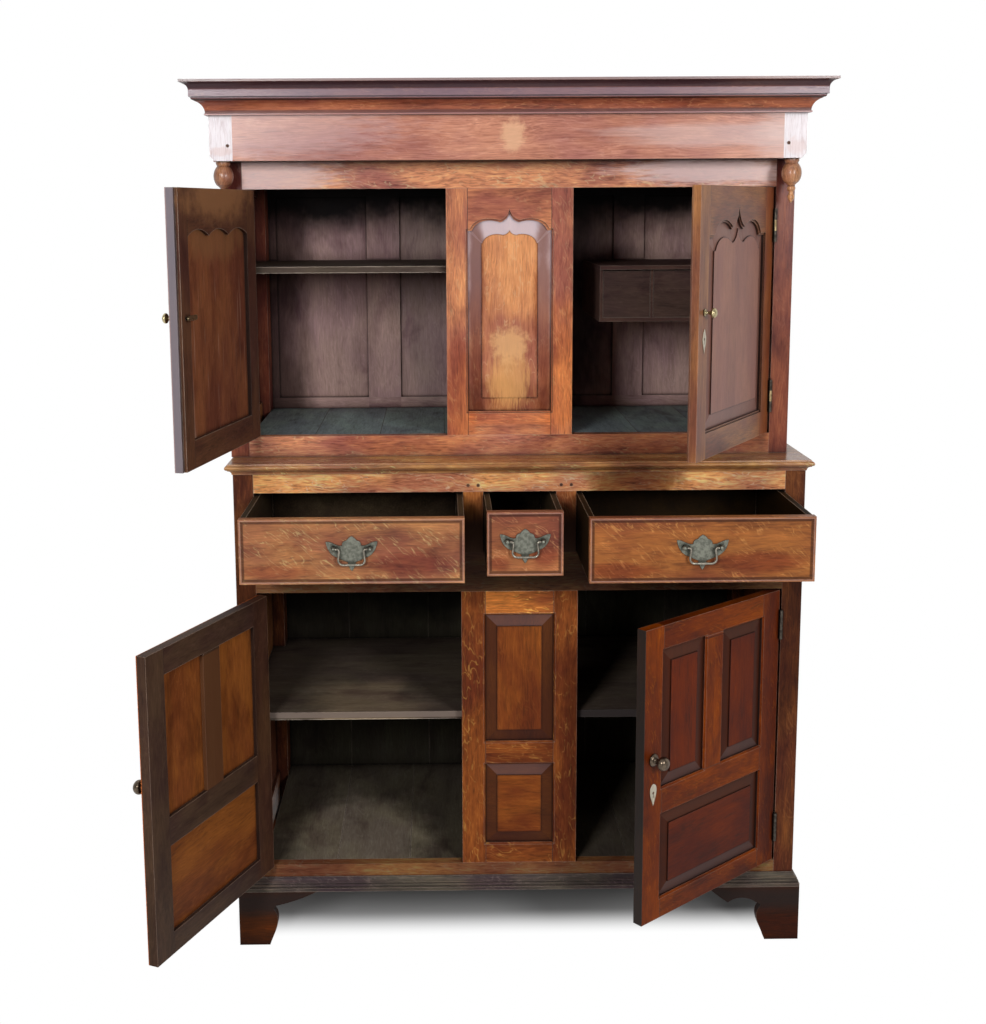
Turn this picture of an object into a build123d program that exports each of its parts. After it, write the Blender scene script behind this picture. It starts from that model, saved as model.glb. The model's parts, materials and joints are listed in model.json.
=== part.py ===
from build123d import *
import os

os.makedirs("parts", exist_ok=True)

# Oak court cupboard of two stages, in millimetres.
# X runs to the right, Y to the back, Z up.
# The origin is on the floor, in the middle of the lower stage's front face.

# ---- overall levels -------------------------------------------------------
height = 1930.0
foot_height = 128.0
sill_top = 188.0
door_head = 827.0
drawer_floor = 915.0
drawer_head = 1052.0
counter_under = 1094.0
counter_top_z = 1118.0
upper_sill_top = 1164.0
cornice_height = 70.0
frieze_height = 94.0
upper_rail_height = 58.0
frieze_top = height - cornice_height
canopy_under = frieze_top - frieze_height
upper_head = canopy_under - upper_rail_height

# ---- lower stage ----------------------------------------------------------
lower_half = 626.0
lower_depth = 575.0
post_width = 44.0
post_depth = 60.0
rail_thickness = 24.0
back_board_thickness = 12.0
muntin_width = 44.0
muntin_centre = 102.0
lower_bay_half = 129.0
lower_bay_stile = 53.0
bay_mid_top = 478.0
bay_mid_bottom = 423.0
bay_head_rail_bottom = 772.0
bay_foot_rail_top = 235.0
floor_thickness = 12.0
board_joint = 1.0
board_lap = 9.0
lap_gap = 0.2
lower_shelf_top = 541.0
lower_shelf_thickness = 17.0

# ---- counter, base and feet ----------------------------------------------
counter_overhang = 16.0
base_projection = 14.0
base_moulding_top = 159.0
foot_board = 22.0
side_foot_length = 150.0

# ---- upper stage ----------------------------------------------------------
# It stands a little to the left of the lower stage's middle.
upper_set_back = 83.0
upper_off_centre = -18.0
upper_half = lower_half - 4.0
upper_back = lower_depth - 29.0
upper_post_width = 41.0
upper_bay_half = 139.0
upper_bay_stile = 47.0
bay_arch_spring = upper_head - 92.0
bay_arch_hump = upper_head - 71.5
bay_arch_dip = upper_head - 74.0
bay_arch_tip = upper_head - 51.0
bay_arch_shoulder = 9.5
upper_foot_rail_top = upper_sill_top + 53.0
upper_shelf_top = upper_head - 169.0
upper_shelf_thickness = 14.0
back_rail_top = upper_sill_top + 27.0
back_muntin_left = (-336.0, -254.0)
back_muntin_right = (284.0, 360.0)

# ---- canopy ---------------------------------------------------------------
canopy_off_centre = -24.0
frieze_half = upper_half + 8.0
frieze_front = 5.0
frieze_thickness = 22.0
canopy_post = 48.0
canopy_chamfer = 10.0
canopy_board = 12.0
cornice_projection = 52.0
pendant_ball = 21.0

# ---- panels and doors -----------------------------------------------------
door_thickness = 22.0
door_gap = 2.0
door_stile = 52.0
lower_door_stile = 58.0
door_muntin = 60.0
side_rail_thickness = 22.0
groove_set_back = 8.0
groove_width = 6.0
groove_depth = 8.0
panel_entry = 7.0
panel_bevel = 26.0
arched_bevel = 30.0
field_rise = 2.5
bevel_rise = 3.5
edge_mould = 4.0
mould_depth = 3.0
door_arch_spring = upper_head - 103.0
door_arch_hump = upper_head - 75.0
door_arch_dip = upper_head - 89.0
door_arch_tip = upper_head - 47.0
door_arch_shoulder = 32.0
door_rough_spring = upper_head - 94.0
door_rough_rise = 13.0
door_foot_rail_top = upper_sill_top + 58.0

# ---- hinges ---------------------------------------------------------------
hinge_barrel = 4.0
hinge_pin = 1.5
pin_clearance = 0.05
hinge_leaf = 1.4
leaf_apart = 0.4
leaf_reach = 18.0
hinge_offset = 4.3
knuckle_gap = 0.3
hinge_length = 72.0
hinge_margin = 48.0
upper_hinge_spans = (
    (upper_head - hinge_margin - hinge_length, upper_head - hinge_margin),
    (upper_sill_top + hinge_margin, upper_sill_top + hinge_margin + hinge_length),
)
lower_hinge_length = 66.0
lower_hinge_spans = (
    (door_head - hinge_margin - lower_hinge_length, door_head - hinge_margin),
    (sill_top + hinge_margin, sill_top + hinge_margin + lower_hinge_length),
)

# ---- drawers --------------------------------------------------------------
drawer_front = 20.0
drawer_side = 12.0
drawer_length = 480.0
drawer_side_gap = 1.5
drawer_top_gap = 2.5
drawer_running_gap = 0.4
drawer_bead = 4.0
bead_rise = 1.5
drawer_bottom = 8.0
runner_width = 26.0
guide_height = 20.0

# ---- drawer handles -------------------------------------------------------
plate_thickness = 1.6
handle_posts = 74.0
post_radius = 3.2
eye_radius = 5.0
eye_stand_off = 9.0
bail_radius = 2.2
bail_clearance = 0.05
bail_drop = 32.0

# ---- inner nest of drawers -------------------------------------------------
nest_left = 206.0
nest_board = 7.0
nest_divider = 6.0
nest_cavity = 107.0
nest_front = 140.0
nest_recess = 6.0
nest_shelf_thickness = 9.0
nest_top = upper_head - 181.0
nest_drawer_top = nest_top - 3.0
nest_floor = nest_top - 108.0
nest_drawer_length = 300.0
nest_gap = 0.8

# ---- pegs through the front's joints --------------------------------------
peg_radius = 3.5
peg_depth = 20.0
peg_proud = 0.6

# ---- pose at rest: doors standing open, drawers drawn out -----------------
upper_left_open = 101.5
upper_right_open = 58.5
lower_left_open = 113.5
lower_right_open = 40.5
left_drawer_out = 248.0
centre_drawer_out = 198.0
right_drawer_out = 260.0

# ---- sizes that follow ----------------------------------------------------
lower_open_out = lower_half - post_width
upper_open_out = upper_half - upper_post_width
upper_front = upper_set_back
lower_back = lower_depth - back_board_thickness
upper_rear = upper_back - side_rail_thickness
muntin_in = muntin_centre - muntin_width / 2
muntin_out = muntin_centre + muntin_width / 2
upper_place = Location((upper_off_centre, 0, 0))
canopy_place = Location((canopy_off_centre, 0, 0))
rail_pegs = [
    (side * (muntin_centre + shift), drawer_head + 14, 0)
    for side in (-1, 1)
    for shift in (-muntin_width / 4, muntin_width / 4)
]
canopy_pegs = [
    (side * (frieze_half - canopy_post + 10), canopy_under + frieze_height / 3, frieze_front)
    for side in (-1, 1)
]


def board(x0, x1, y0, y1, z0, z1, mode=Mode.ADD):
    """A squared board between two opposite corners."""
    with Locations(((x0 + x1) / 2, (y0 + y1) / 2, (z0 + z1) / 2)):
        Box(x1 - x0, y1 - y0, z1 - z0, mode=mode)


def face_at(y):
    """The upright plane at depth y, drawn on with X across and Z up."""
    return Plane.XZ.offset(-y)


def rectangle(x0, x1, z0, z1):
    """A rectangle on an upright plane."""
    with Locations(((x0 + x1) / 2, (z0 + z1) / 2)):
        Rectangle(x1 - x0, z1 - z0)


def worked_edge(x0, x1, z0, z1, front):
    """The small sloping mould worked on the frame round one panel opening."""
    with BuildSketch(face_at(front + edge_mould)) as opening:
        rectangle(x0, x1, z0, z1)
    extrude(opening.sketch, amount=edge_mould, taper=-45, mode=Mode.SUBTRACT)


def panel_groove(x0, x1, z0, z1, front):
    """The groove in the frame that the panel's edges run in."""
    board(
        x0 - groove_depth, x1 + groove_depth,
        front + groove_set_back, front + groove_set_back + groove_width,
        z0 - groove_depth, z1 + groove_depth, mode=Mode.SUBTRACT,
    )


def fielded_panel(x0, x1, z0, z1, front):
    """A panel whose edges enter the grooves, with a raised field and sloping margins."""
    back = front + groove_set_back + groove_width
    tongue = front + groove_set_back
    board(
        x0 - panel_entry, x1 + panel_entry, tongue, back,
        z0 - panel_entry, z1 + panel_entry,
    )
    with BuildSketch(face_at(tongue)) as margin:
        rectangle(x0, x1, z0, z1)
    with BuildSketch(face_at(tongue - bevel_rise)) as field:
        rectangle(x0 + panel_bevel, x1 - panel_bevel, z0 + panel_bevel, z1 - panel_bevel)
    loft([margin.sketch.face(), field.sketch.face()])
    extrude(field.sketch, amount=field_rise)


def arched_shape(middle, half, bottom, spring, hump, dip, tip, shoulder):
    """An upright opening under an ogee arch: two humps that sweep up to a point."""
    with BuildLine() as outline:
        reach = half - shoulder
        lift = dip + (tip - dip) * 0.36
        Line((middle - half, bottom), (middle + half, bottom))
        for way in (-1, 1):
            end = (middle + way * reach, spring)
            low = (middle + way * reach * 0.26, dip)
            Polyline((middle + way * half, bottom), (middle + way * half, spring), end)
            Spline(
                end, (middle + way * reach * 0.9, spring + (hump - spring) * 0.6),
                (middle + way * reach * 0.7, hump), low,
            )
            ThreePointArc(low, (middle + way * reach * 0.085, lift), (middle, tip))
    make_face(outline.edges())


def arch_mould(arch, front):
    """The square sunk edge worked round an arched opening."""
    middle, half, bottom, spring, hump, dip, tip, shoulder = arch
    wide = edge_mould
    with BuildSketch(face_at(front + mould_depth)) as sunk:
        arched_shape(
            middle, half + wide, bottom - wide, spring + wide,
            hump + wide, dip + wide * 1.15, tip + wide * 1.6, shoulder,
        )
    extrude(sunk.sketch, amount=mould_depth, mode=Mode.SUBTRACT)


def rough_opening(middle, half, bottom):
    """The unseen inner side of an arched rail, roughly sawn in three scallops."""
    with BuildLine() as outline:
        Polyline(
            (middle - half, door_rough_spring), (middle - half, bottom),
            (middle + half, bottom), (middle + half, door_rough_spring),
        )
        third = half * 2 / 3
        for i in range(3):
            x0 = middle - half + i * third
            ThreePointArc(
                (x0, door_rough_spring),
                (x0 + third / 2, door_rough_spring + door_rough_rise),
                (x0 + third, door_rough_spring),
            )
    make_face(outline.edges())


def arched_panel(middle, half, bottom, spring, hump, dip, tip, shoulder, front):
    """A fielded panel under an arched rail; its square top stands in a straight groove."""
    tongue = front + groove_set_back
    board(
        middle - half - panel_entry, middle + half + panel_entry,
        tongue, tongue + groove_width,
        bottom - panel_entry, tip + panel_entry,
    )
    bevel = arched_bevel
    with BuildSketch(face_at(tongue)) as margin:
        arched_shape(middle, half, bottom, spring, hump, dip, tip, shoulder)
    with BuildSketch(face_at(tongue - bevel_rise)) as field:
        arched_shape(
            middle, half - bevel, bottom + bevel, spring - bevel * 0.9,
            hump - bevel, dip - bevel * 0.9, tip - bevel * 1.35, shoulder / 4,
        )
    loft([margin.sketch.face(), field.sketch.face()])
    extrude(field.sketch, amount=field_rise)


def door_leaf_cut(x_edge, y_front, spans, way):
    """Housings in a door's or post's edge for the hinge leaves."""
    for low, high in spans:
        x_in = x_edge + way * (hinge_leaf - (door_gap - leaf_apart) / 2)
        board(
            min(x_edge, x_in), max(x_edge, x_in), y_front, y_front + leaf_reach, low, high,
            mode=Mode.SUBTRACT,
        )


def bore(x, z, y0, y1, radius, mode=Mode.SUBTRACT):
    """A round hole or plug running from front to back."""
    with Locations(Location((x, (y0 + y1) / 2, z), (90, 0, 0))):
        Cylinder(radius, y1 - y0, mode=mode)


def peg_holes(places):
    """The holes that the frame's pegs are driven into."""
    for x, z, front_y in places:
        bore(x, z, front_y, front_y + peg_depth, peg_radius)


def write(piece, name, place=Location()):
    """Put a finished piece, or a group of like pieces, in its place and write it."""
    piece = piece.moved(place)
    piece.label = name
    export_step(piece, f"parts/{name}.step")


def group(name, *pieces, place=Location()):
    """Pieces of one frame, each its own solid, kept under one name."""
    solids = [s.moved(place) for p in pieces for s in p.solids()]
    write(Compound(label=name, children=solids), name)


def lapped_boards(count, start, width, y0, y1, z0, z1, lap_up):
    """Boards side by side, each with a lip that laps under or behind the next."""
    thin = (z0 + z1) / 2 if lap_up else (y0 + y1) / 2
    for i in range(count):
        x0 = start + i * width
        board(x0 + board_joint / 2, x0 + width - board_joint / 2, y0, y1, z0, z1)
    for i in range(1, count):
        x0 = start + i * width + board_joint / 2
        x1 = x0 + board_lap + board_joint / 2
        if lap_up:
            board(x0, x1, y0, y1, z0, thin + lap_gap, mode=Mode.SUBTRACT)
            board(x0 - board_joint, x0 + board_lap, y0, y1, z0, thin)
        else:
            board(x0, x1, thin - lap_gap, y1, z0, z1, mode=Mode.SUBTRACT)
            board(x0 - board_joint, x0 + board_lap, thin, y1, z0, z1)


def swung(piece, hinge_x, hinge_y, degrees):
    """A closed door's piece, turned about its hinge pins."""
    return piece.rotate(Axis((hinge_x, hinge_y, 0), (0, 0, 1)), degrees)


# ==== lower stage ==========================================================
# Posts: the front pair carries the hinges, the back pair stands in the corners.
with BuildPart() as lower_posts:
    for side in (-1, 1):
        inner = side * lower_open_out
        outer = side * lower_half
        x0, x1 = min(inner, outer), max(inner, outer)
        board(x0, x1, 0, post_depth, foot_height, counter_under)
        board(x0, x1, lower_back - post_depth, lower_back, foot_height, counter_under)
        door_leaf_cut(inner, 0, lower_hinge_spans, side)
write(lower_posts.part, "lower_posts")

# Long rails of the front: under the counter, under the drawers, and the sill.
with BuildPart() as lower_rails:
    board(-lower_open_out, lower_open_out, 0, rail_thickness, drawer_head, counter_under)
    board(-lower_open_out, lower_open_out, 0, rail_thickness, door_head, drawer_floor)
    board(-lower_open_out, lower_open_out, 0, rail_thickness, foot_height, sill_top)
    peg_holes(rail_pegs)
write(lower_rails.part, "lower_rails")

# Two short muntins part the three drawers.
with BuildPart() as drawer_muntins:
    for side in (-1, 1):
        middle = side * muntin_centre
        board(
            middle - muntin_width / 2, middle + muntin_width / 2,
            0, rail_thickness, drawer_floor, drawer_head,
        )
write(drawer_muntins.part, "drawer_muntins")

# Fixed bay between the doors: two stiles, three rails and two fielded panels.
bay_in = lower_bay_half - lower_bay_stile
bay_openings = ((bay_mid_top, bay_head_rail_bottom), (bay_foot_rail_top, bay_mid_bottom))
with BuildPart() as bay_stiles:
    for side in (-1, 1):
        middle = side * (bay_in + lower_bay_stile / 2)
        board(
            middle - lower_bay_stile / 2, middle + lower_bay_stile / 2,
            0, rail_thickness, sill_top, door_head,
        )
    for low, high in bay_openings:
        panel_groove(-bay_in, bay_in, low, high, 0)
        worked_edge(-bay_in, bay_in, low, high, 0)
with BuildPart() as bay_rails:
    board(-bay_in, bay_in, 0, rail_thickness, bay_head_rail_bottom, door_head)
    board(-bay_in, bay_in, 0, rail_thickness, bay_mid_bottom, bay_mid_top)
    board(-bay_in, bay_in, 0, rail_thickness, sill_top, bay_foot_rail_top)
    for low, high in bay_openings:
        panel_groove(-bay_in, bay_in, low, high, 0)
        worked_edge(-bay_in, bay_in, low, high, 0)
group("lower_bay_frame", bay_stiles.part, bay_rails.part)

with BuildPart() as lower_bay_panels:
    for low, high in bay_openings:
        fielded_panel(-bay_in, bay_in, low, high, 0)
write(lower_bay_panels.part, "lower_bay_panels")

# Framed sides: three rails and two flat panels stand between the posts of each side.
side_front = post_depth
side_rear = lower_back - post_depth
side_rail = 70.0
side_mid_low = drawer_floor - side_rail
with BuildPart() as lower_side_rails:
    for side in (-1, 1):
        x0 = min(side * lower_half, side * (lower_half - side_rail_thickness))
        x1 = x0 + side_rail_thickness
        board(x0, x1, side_front, side_rear, counter_under - side_rail, counter_under)
        board(x0, x1, side_front, side_rear, side_mid_low, drawer_floor)
        board(x0, x1, side_front, side_rear, foot_height, foot_height + side_rail)
with BuildPart() as lower_side_panels:
    for side in (-1, 1):
        x0 = side * (lower_half - side_rail_thickness / 2) - groove_width / 2
        x1 = x0 + groove_width
        board(x0, x1, side_front, side_rear, drawer_floor, counter_under - side_rail)
        board(x0, x1, side_front, side_rear, foot_height + side_rail, side_mid_low)
group("lower_side_frames", lower_side_rails.part, lower_side_panels.part)

# Upright boards nailed over the back.
back_boards = 6
back_board_width = 2 * lower_half / back_boards
with BuildPart() as lower_back_boards:
    lapped_boards(
        back_boards, -lower_half, back_board_width,
        lower_back, lower_depth, foot_height, counter_under, False,
    )
write(lower_back_boards.part, "lower_back_boards")

# Floor boards run from front to back and rest on the sill and the bottom side rails.
inside_half = lower_half - side_rail_thickness
lower_floor_count = 7
with BuildPart() as lower_floor_boards:
    lapped_boards(
        lower_floor_count, -lower_open_out, 2 * lower_open_out / lower_floor_count,
        rail_thickness, lower_back, sill_top - floor_thickness, sill_top, True,
    )
write(lower_floor_boards.part, "lower_floor_boards")

# One shelf runs behind the fixed bay through the whole width, nailed through its stiles.
lower_panel_face = lower_half - (side_rail_thickness + groove_width) / 2
with BuildPart() as lower_shelf:
    board(
        -lower_panel_face, lower_panel_face, rail_thickness, lower_back,
        lower_shelf_top - lower_shelf_thickness, lower_shelf_top,
    )
    for side in (-1, 1):
        x0 = min(side * lower_open_out, side * lower_half)
        x1 = max(side * lower_open_out, side * lower_half)
        board(x0, x1, 0, post_depth, 0, height, mode=Mode.SUBTRACT)
        board(x0, x1, side_rear, lower_back, 0, height, mode=Mode.SUBTRACT)

# Drawer runners, with a guide standing on each, from the front rail to the back boards.
with BuildPart() as drawer_runners:
    for side in (-1, 1):
        edge = side * lower_open_out
        inner = edge - side * runner_width
        outer = side * inside_half
        board(
            min(inner, edge), max(inner, edge), rail_thickness, lower_back,
            drawer_floor - 25, drawer_floor,
        )
        board(
            min(edge, outer), max(edge, outer), post_depth, side_rear,
            drawer_floor - 25, drawer_floor + guide_height,
        )
        middle = side * muntin_centre
        half = muntin_width / 2
        board(
            middle - half - runner_width, middle + half + runner_width,
            rail_thickness, lower_back, drawer_floor - 25, drawer_floor,
        )
        board(
            middle - half, middle + half, rail_thickness, lower_back,
            drawer_floor, drawer_floor + guide_height,
        )
write(drawer_runners.part, "drawer_runners")

# Counter: one board whose front and ends carry a thumb and bead.
counter_half = lower_half + counter_overhang


def counter_edge(edge, way):
    """The worked edge of the counter, from its top to its underside."""
    Line((edge + way * 6, counter_top_z), (edge + way * 5, counter_top_z - 3))
    ThreePointArc(
        (edge + way * 5, counter_top_z - 3), (edge, counter_top_z - 8),
        (edge + way * 5, counter_top_z - 13),
    )
    Line((edge + way * 5, counter_top_z - 13), (edge + way * 6, counter_top_z - 15))
    ThreePointArc(
        (edge + way * 6, counter_top_z - 15), (edge + way * 11, counter_top_z - 17),
        (edge + way * 14, counter_under),
    )


with BuildPart() as counter_top:
    with BuildSketch(Plane.YZ.offset(-counter_half)):
        with BuildLine():
            counter_edge(-counter_overhang, 1)
            Line((-counter_overhang + 14, counter_under), (lower_depth, counter_under))
            Line((lower_depth, counter_under), (lower_depth, counter_top_z))
            Line((lower_depth, counter_top_z), (-counter_overhang + 6, counter_top_z))
        make_face()
    extrude(amount=2 * counter_half)
    with BuildSketch(face_at(lower_depth)):
        with BuildLine():
            counter_edge(-counter_half, 1)
            counter_edge(counter_half, -1)
            Line((-counter_half + 14, counter_under), (counter_half - 14, counter_under))
            Line((-counter_half + 6, counter_top_z), (counter_half - 6, counter_top_z))
        make_face()
    extrude(amount=lower_depth + counter_overhang, mode=Mode.INTERSECT)
write(counter_top.part, "counter_top")


def base_profile():
    """Section of the base moulding: a hollow, three reeds and a square foot."""
    top = base_moulding_top
    out = base_projection
    with BuildLine() as section:
        Polyline((0, foot_height), (0, top), (out - 12, top))
        ThreePointArc((out - 12, top), (out - 10, top - 7), (out - 7, top - 10))
        ThreePointArc((out - 7, top - 10), (out - 4.5, top - 12.5), (out - 6, top - 15))
        ThreePointArc((out - 6, top - 15), (out - 2, top - 18), (out - 3.5, top - 21.5))
        Polyline((out - 3.5, top - 21.5), (out, top - 23), (out, foot_height))
        Line((out, foot_height), (0, foot_height))
    make_face(section.edges())


# Base moulding: a front length mitred to two returns.
base_half = lower_half
with BuildPart() as base_front:
    with BuildSketch(Plane(origin=(-base_half - 40, 0, 0), x_dir=(0, -1, 0), z_dir=(-1, 0, 0))):
        base_profile()
    extrude(amount=-2 * (base_half + 40))
    split(bisect_by=Plane(origin=(-base_half, 0, 0), z_dir=(1, -1, 0)), keep=Keep.TOP)
    split(bisect_by=Plane(origin=(base_half, 0, 0), z_dir=(-1, -1, 0)), keep=Keep.TOP)
with BuildPart() as base_return:
    with BuildSketch(Plane(origin=(base_half, -40, 0), x_dir=(1, 0, 0), z_dir=(0, -1, 0))):
        base_profile()
    extrude(amount=-(lower_depth + 40))
    split(bisect_by=Plane(origin=(base_half, 0, 0), z_dir=(1, 1, 0)), keep=Keep.TOP)
group(
    "base_moulding", base_front.part, base_return.part,
    base_return.part.mirror(Plane.YZ),
)


# Bracket feet: two shaped boards at each front corner with a block behind them.
foot_out = lower_half + base_projection
foot_face = -base_projection


def side_bracket(y_corner, way):
    """Outline of a side bracket, running back or forward from its corner."""
    with BuildLine() as outline:
        reach = y_corner + way * side_foot_length
        Polyline(
            (y_corner + way * 62, 0), (y_corner, 0), (y_corner, foot_height),
            (reach, foot_height),
        )
        waist = (y_corner + way * 78, foot_height - 38)
        Spline((reach, foot_height), (y_corner + way * 110, foot_height - 21), waist)
        Spline(waist, (y_corner + way * 72, foot_height * 0.35), (y_corner + way * 62, 0))
    make_face(outline.edges())


with BuildPart() as front_foot_left:
    with BuildSketch(face_at(foot_face + foot_board)):
        with BuildLine():
            x = -foot_out
            z = foot_height
            Polyline((x + 69, 0), (x, 0), (x, z), (x + 178, z))
            Spline((x + 178, z), (x + 129, z - 21), (x + 85, z - 33))
            Line((x + 85, z - 33), (x + 78, z - 41))
            Spline((x + 78, z - 41), (x + 88, z * 0.47), (x + 80, z * 0.22), (x + 69, 0))
        make_face()
    extrude(amount=foot_board)
with BuildPart() as front_foot_right:
    with BuildSketch(face_at(foot_face + foot_board)):
        with BuildLine():
            x = foot_out
            z = foot_height
            Polyline((x - 77, 0), (x, 0), (x, z), (x - 210, z))
            Spline((x - 210, z), (x - 188, z - 19), (x - 163, z - 37))
            Spline((x - 163, z - 37), (x - 149, z - 29), (x - 126, z - 26), (x - 100, z - 36))
            Line((x - 100, z - 36), (x - 87, z - 44))
            Spline((x - 87, z - 44), (x - 97, z * 0.46), (x - 89, z * 0.23), (x - 77, 0))
        make_face()
    extrude(amount=foot_board)
with BuildPart() as side_feet:
    for side in (-1, 1):
        start = side * foot_out if side < 0 else foot_out - foot_board
        with BuildSketch(Plane.YZ.offset(start)):
            side_bracket(foot_face + foot_board, 1)
            side_bracket(lower_depth, -1)
        extrude(amount=foot_board)
with BuildPart() as foot_blocks:
    for side in (-1, 1):
        x0 = side * (foot_out - foot_board)
        x1 = side * (lower_open_out - 4)
        board(min(x0, x1), max(x0, x1), foot_face + foot_board, post_depth, 0, foot_height)
        board(min(x0, x1), max(x0, x1), side_rear, lower_depth, 0, foot_height)
group(
    "bracket_feet", front_foot_left.part, front_foot_right.part,
    side_feet.part, foot_blocks.part,
)

# ==== upper stage ==========================================================
with BuildPart() as upper_posts:
    for side in (-1, 1):
        x0 = min(side * upper_open_out, side * upper_half)
        x1 = max(side * upper_open_out, side * upper_half)
        board(x0, x1, upper_front, upper_front + post_depth, counter_top_z, canopy_under)
        board(x0, x1, upper_rear - post_depth, upper_rear, counter_top_z, canopy_under)
        door_leaf_cut(side * upper_open_out, upper_front, upper_hinge_spans, side)
write(upper_posts.part, "upper_posts", upper_place)

upper_rail_back = upper_front + rail_thickness
with BuildPart() as upper_rails:
    board(
        -upper_open_out, upper_open_out, upper_front, upper_rail_back,
        upper_head, canopy_under,
    )
    board(
        -upper_open_out, upper_open_out, upper_front, upper_rail_back,
        counter_top_z, upper_sill_top,
    )
write(upper_rails.part, "upper_rails", upper_place)

# Fixed upper bay: its top rail is cut to an ogee arch.
upper_bay_in = upper_bay_half - upper_bay_stile
bay_arch = (
    0, upper_bay_in, upper_foot_rail_top, bay_arch_spring,
    bay_arch_hump, bay_arch_dip, bay_arch_tip, bay_arch_shoulder,
)
with BuildPart() as upper_bay_stiles:
    for side in (-1, 1):
        middle = side * (upper_bay_in + upper_bay_stile / 2)
        board(
            middle - upper_bay_stile / 2, middle + upper_bay_stile / 2,
            upper_front, upper_rail_back, upper_sill_top, upper_head,
        )
    panel_groove(-upper_bay_in, upper_bay_in, upper_foot_rail_top, bay_arch_tip, upper_front)
    arch_mould(bay_arch, upper_front)
with BuildPart() as upper_bay_rails:
    board(
        -upper_bay_in, upper_bay_in, upper_front, upper_rail_back,
        bay_arch_spring, upper_head,
    )
    board(
        -upper_bay_in, upper_bay_in, upper_front, upper_rail_back,
        upper_sill_top, upper_foot_rail_top,
    )
    with BuildSketch(face_at(upper_rail_back)) as arch_cut:
        arched_shape(*bay_arch)
    extrude(arch_cut.sketch, amount=rail_thickness, mode=Mode.SUBTRACT)
    panel_groove(-upper_bay_in, upper_bay_in, upper_foot_rail_top, bay_arch_tip, upper_front)
    arch_mould(bay_arch, upper_front)
group("upper_bay_frame", upper_bay_stiles.part, upper_bay_rails.part, place=upper_place)
with BuildPart() as upper_bay_panel:
    arched_panel(*bay_arch, upper_front)
write(upper_bay_panel.part, "upper_bay_panel", upper_place)

# Framed sides with one flat panel each.
upper_side_front = upper_front + post_depth
upper_side_rear = upper_rear - post_depth
with BuildPart() as upper_side_rails:
    for side in (-1, 1):
        x0 = min(side * upper_half, side * (upper_half - side_rail_thickness))
        x1 = x0 + side_rail_thickness
        board(
            x0, x1, upper_side_front, upper_side_rear,
            canopy_under - side_rail, canopy_under,
        )
        board(
            x0, x1, upper_side_front, upper_side_rear,
            counter_top_z, counter_top_z + side_rail,
        )
with BuildPart() as upper_side_panels:
    for side in (-1, 1):
        x0 = side * (upper_half - side_rail_thickness / 2) - groove_width / 2
        board(
            x0, x0 + groove_width, upper_side_front, upper_side_rear,
            counter_top_z + side_rail, canopy_under - side_rail,
        )
group("upper_side_frames", upper_side_rails.part, upper_side_panels.part, place=upper_place)

# Framed back: two broad muntins and three flat panels, seen through the open doors.
back_stile_in = upper_half - 59.0
back_head = canopy_under - side_rail
panel_y = upper_rear + groove_set_back
with BuildPart() as back_uprights:
    for side in (-1, 1):
        x0 = min(side * back_stile_in, side * upper_half)
        x1 = max(side * back_stile_in, side * upper_half)
        board(x0, x1, upper_rear, upper_back, counter_top_z, canopy_under)
    for x0, x1 in (back_muntin_left, back_muntin_right):
        board(x0, x1, upper_rear, upper_back, back_rail_top, back_head)
with BuildPart() as back_rails:
    board(-back_stile_in, back_stile_in, upper_rear, upper_back, back_head, canopy_under)
    board(-back_stile_in, back_stile_in, upper_rear, upper_back, counter_top_z, back_rail_top)
with BuildPart() as back_panels:
    spans = (
        (-back_stile_in, back_muntin_left[0]),
        (back_muntin_left[1], back_muntin_right[0]),
        (back_muntin_right[1], back_stile_in),
    )
    for x0, x1 in spans:
        board(x0, x1, panel_y, panel_y + groove_width, back_rail_top, back_head)
group("upper_back", back_uprights.part, back_rails.part, back_panels.part, place=upper_place)

upper_floor_count = 8
with BuildPart() as upper_floor_boards:
    lapped_boards(
        upper_floor_count, -upper_open_out, 2 * upper_open_out / upper_floor_count,
        upper_rail_back, upper_rear, upper_sill_top - floor_thickness, upper_sill_top, True,
    )
write(upper_floor_boards.part, "upper_floor_boards", upper_place)

# Shelf behind the left door, housed on the left and nailed through the bay's stiles.
upper_panel_face = upper_half - (side_rail_thickness + groove_width) / 2
with BuildPart() as upper_shelf:
    board(
        -upper_panel_face, upper_bay_in, upper_rail_back, upper_rear,
        upper_shelf_top - upper_shelf_thickness, upper_shelf_top,
    )
    board(
        -upper_half, -upper_open_out, 0, upper_side_front, 0, height, mode=Mode.SUBTRACT,
    )
    board(
        -upper_half, -upper_open_out, upper_side_rear, upper_back, 0, height,
        mode=Mode.SUBTRACT,
    )
group("shelves", lower_shelf.part, upper_shelf.part.moved(upper_place))

# Nest of two small drawers behind the right door, hung under a half shelf.
cavity_left = nest_left + nest_board
divider_left = cavity_left + nest_cavity
cavity_right = divider_left + nest_divider
nest_right_board = cavity_right + nest_cavity
nest_right = nest_right_board + nest_board
with BuildPart() as nest_shelf:
    board(
        nest_left, upper_panel_face, nest_front, upper_rear,
        nest_top, nest_top + nest_shelf_thickness,
    )
    board(
        upper_open_out, upper_half, upper_side_rear, upper_back, 0, height,
        mode=Mode.SUBTRACT,
    )
    board(upper_open_out, upper_half, 0, upper_side_front, 0, height, mode=Mode.SUBTRACT)
nest_face = nest_front + nest_recess
with BuildPart() as nest_bottom:
    board(
        nest_left, nest_right, nest_face, upper_rear,
        nest_floor - nest_shelf_thickness, nest_floor,
    )
with BuildPart() as nest_uprights:
    board(nest_left, cavity_left, nest_face, upper_rear, nest_floor, nest_top)
    board(divider_left, cavity_right, nest_face, upper_rear, nest_floor, nest_top)
    board(nest_right_board, nest_right, nest_face, upper_rear, nest_floor, nest_top)
group("nest_case", nest_shelf.part, nest_bottom.part, nest_uprights.part, place=upper_place)

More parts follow.
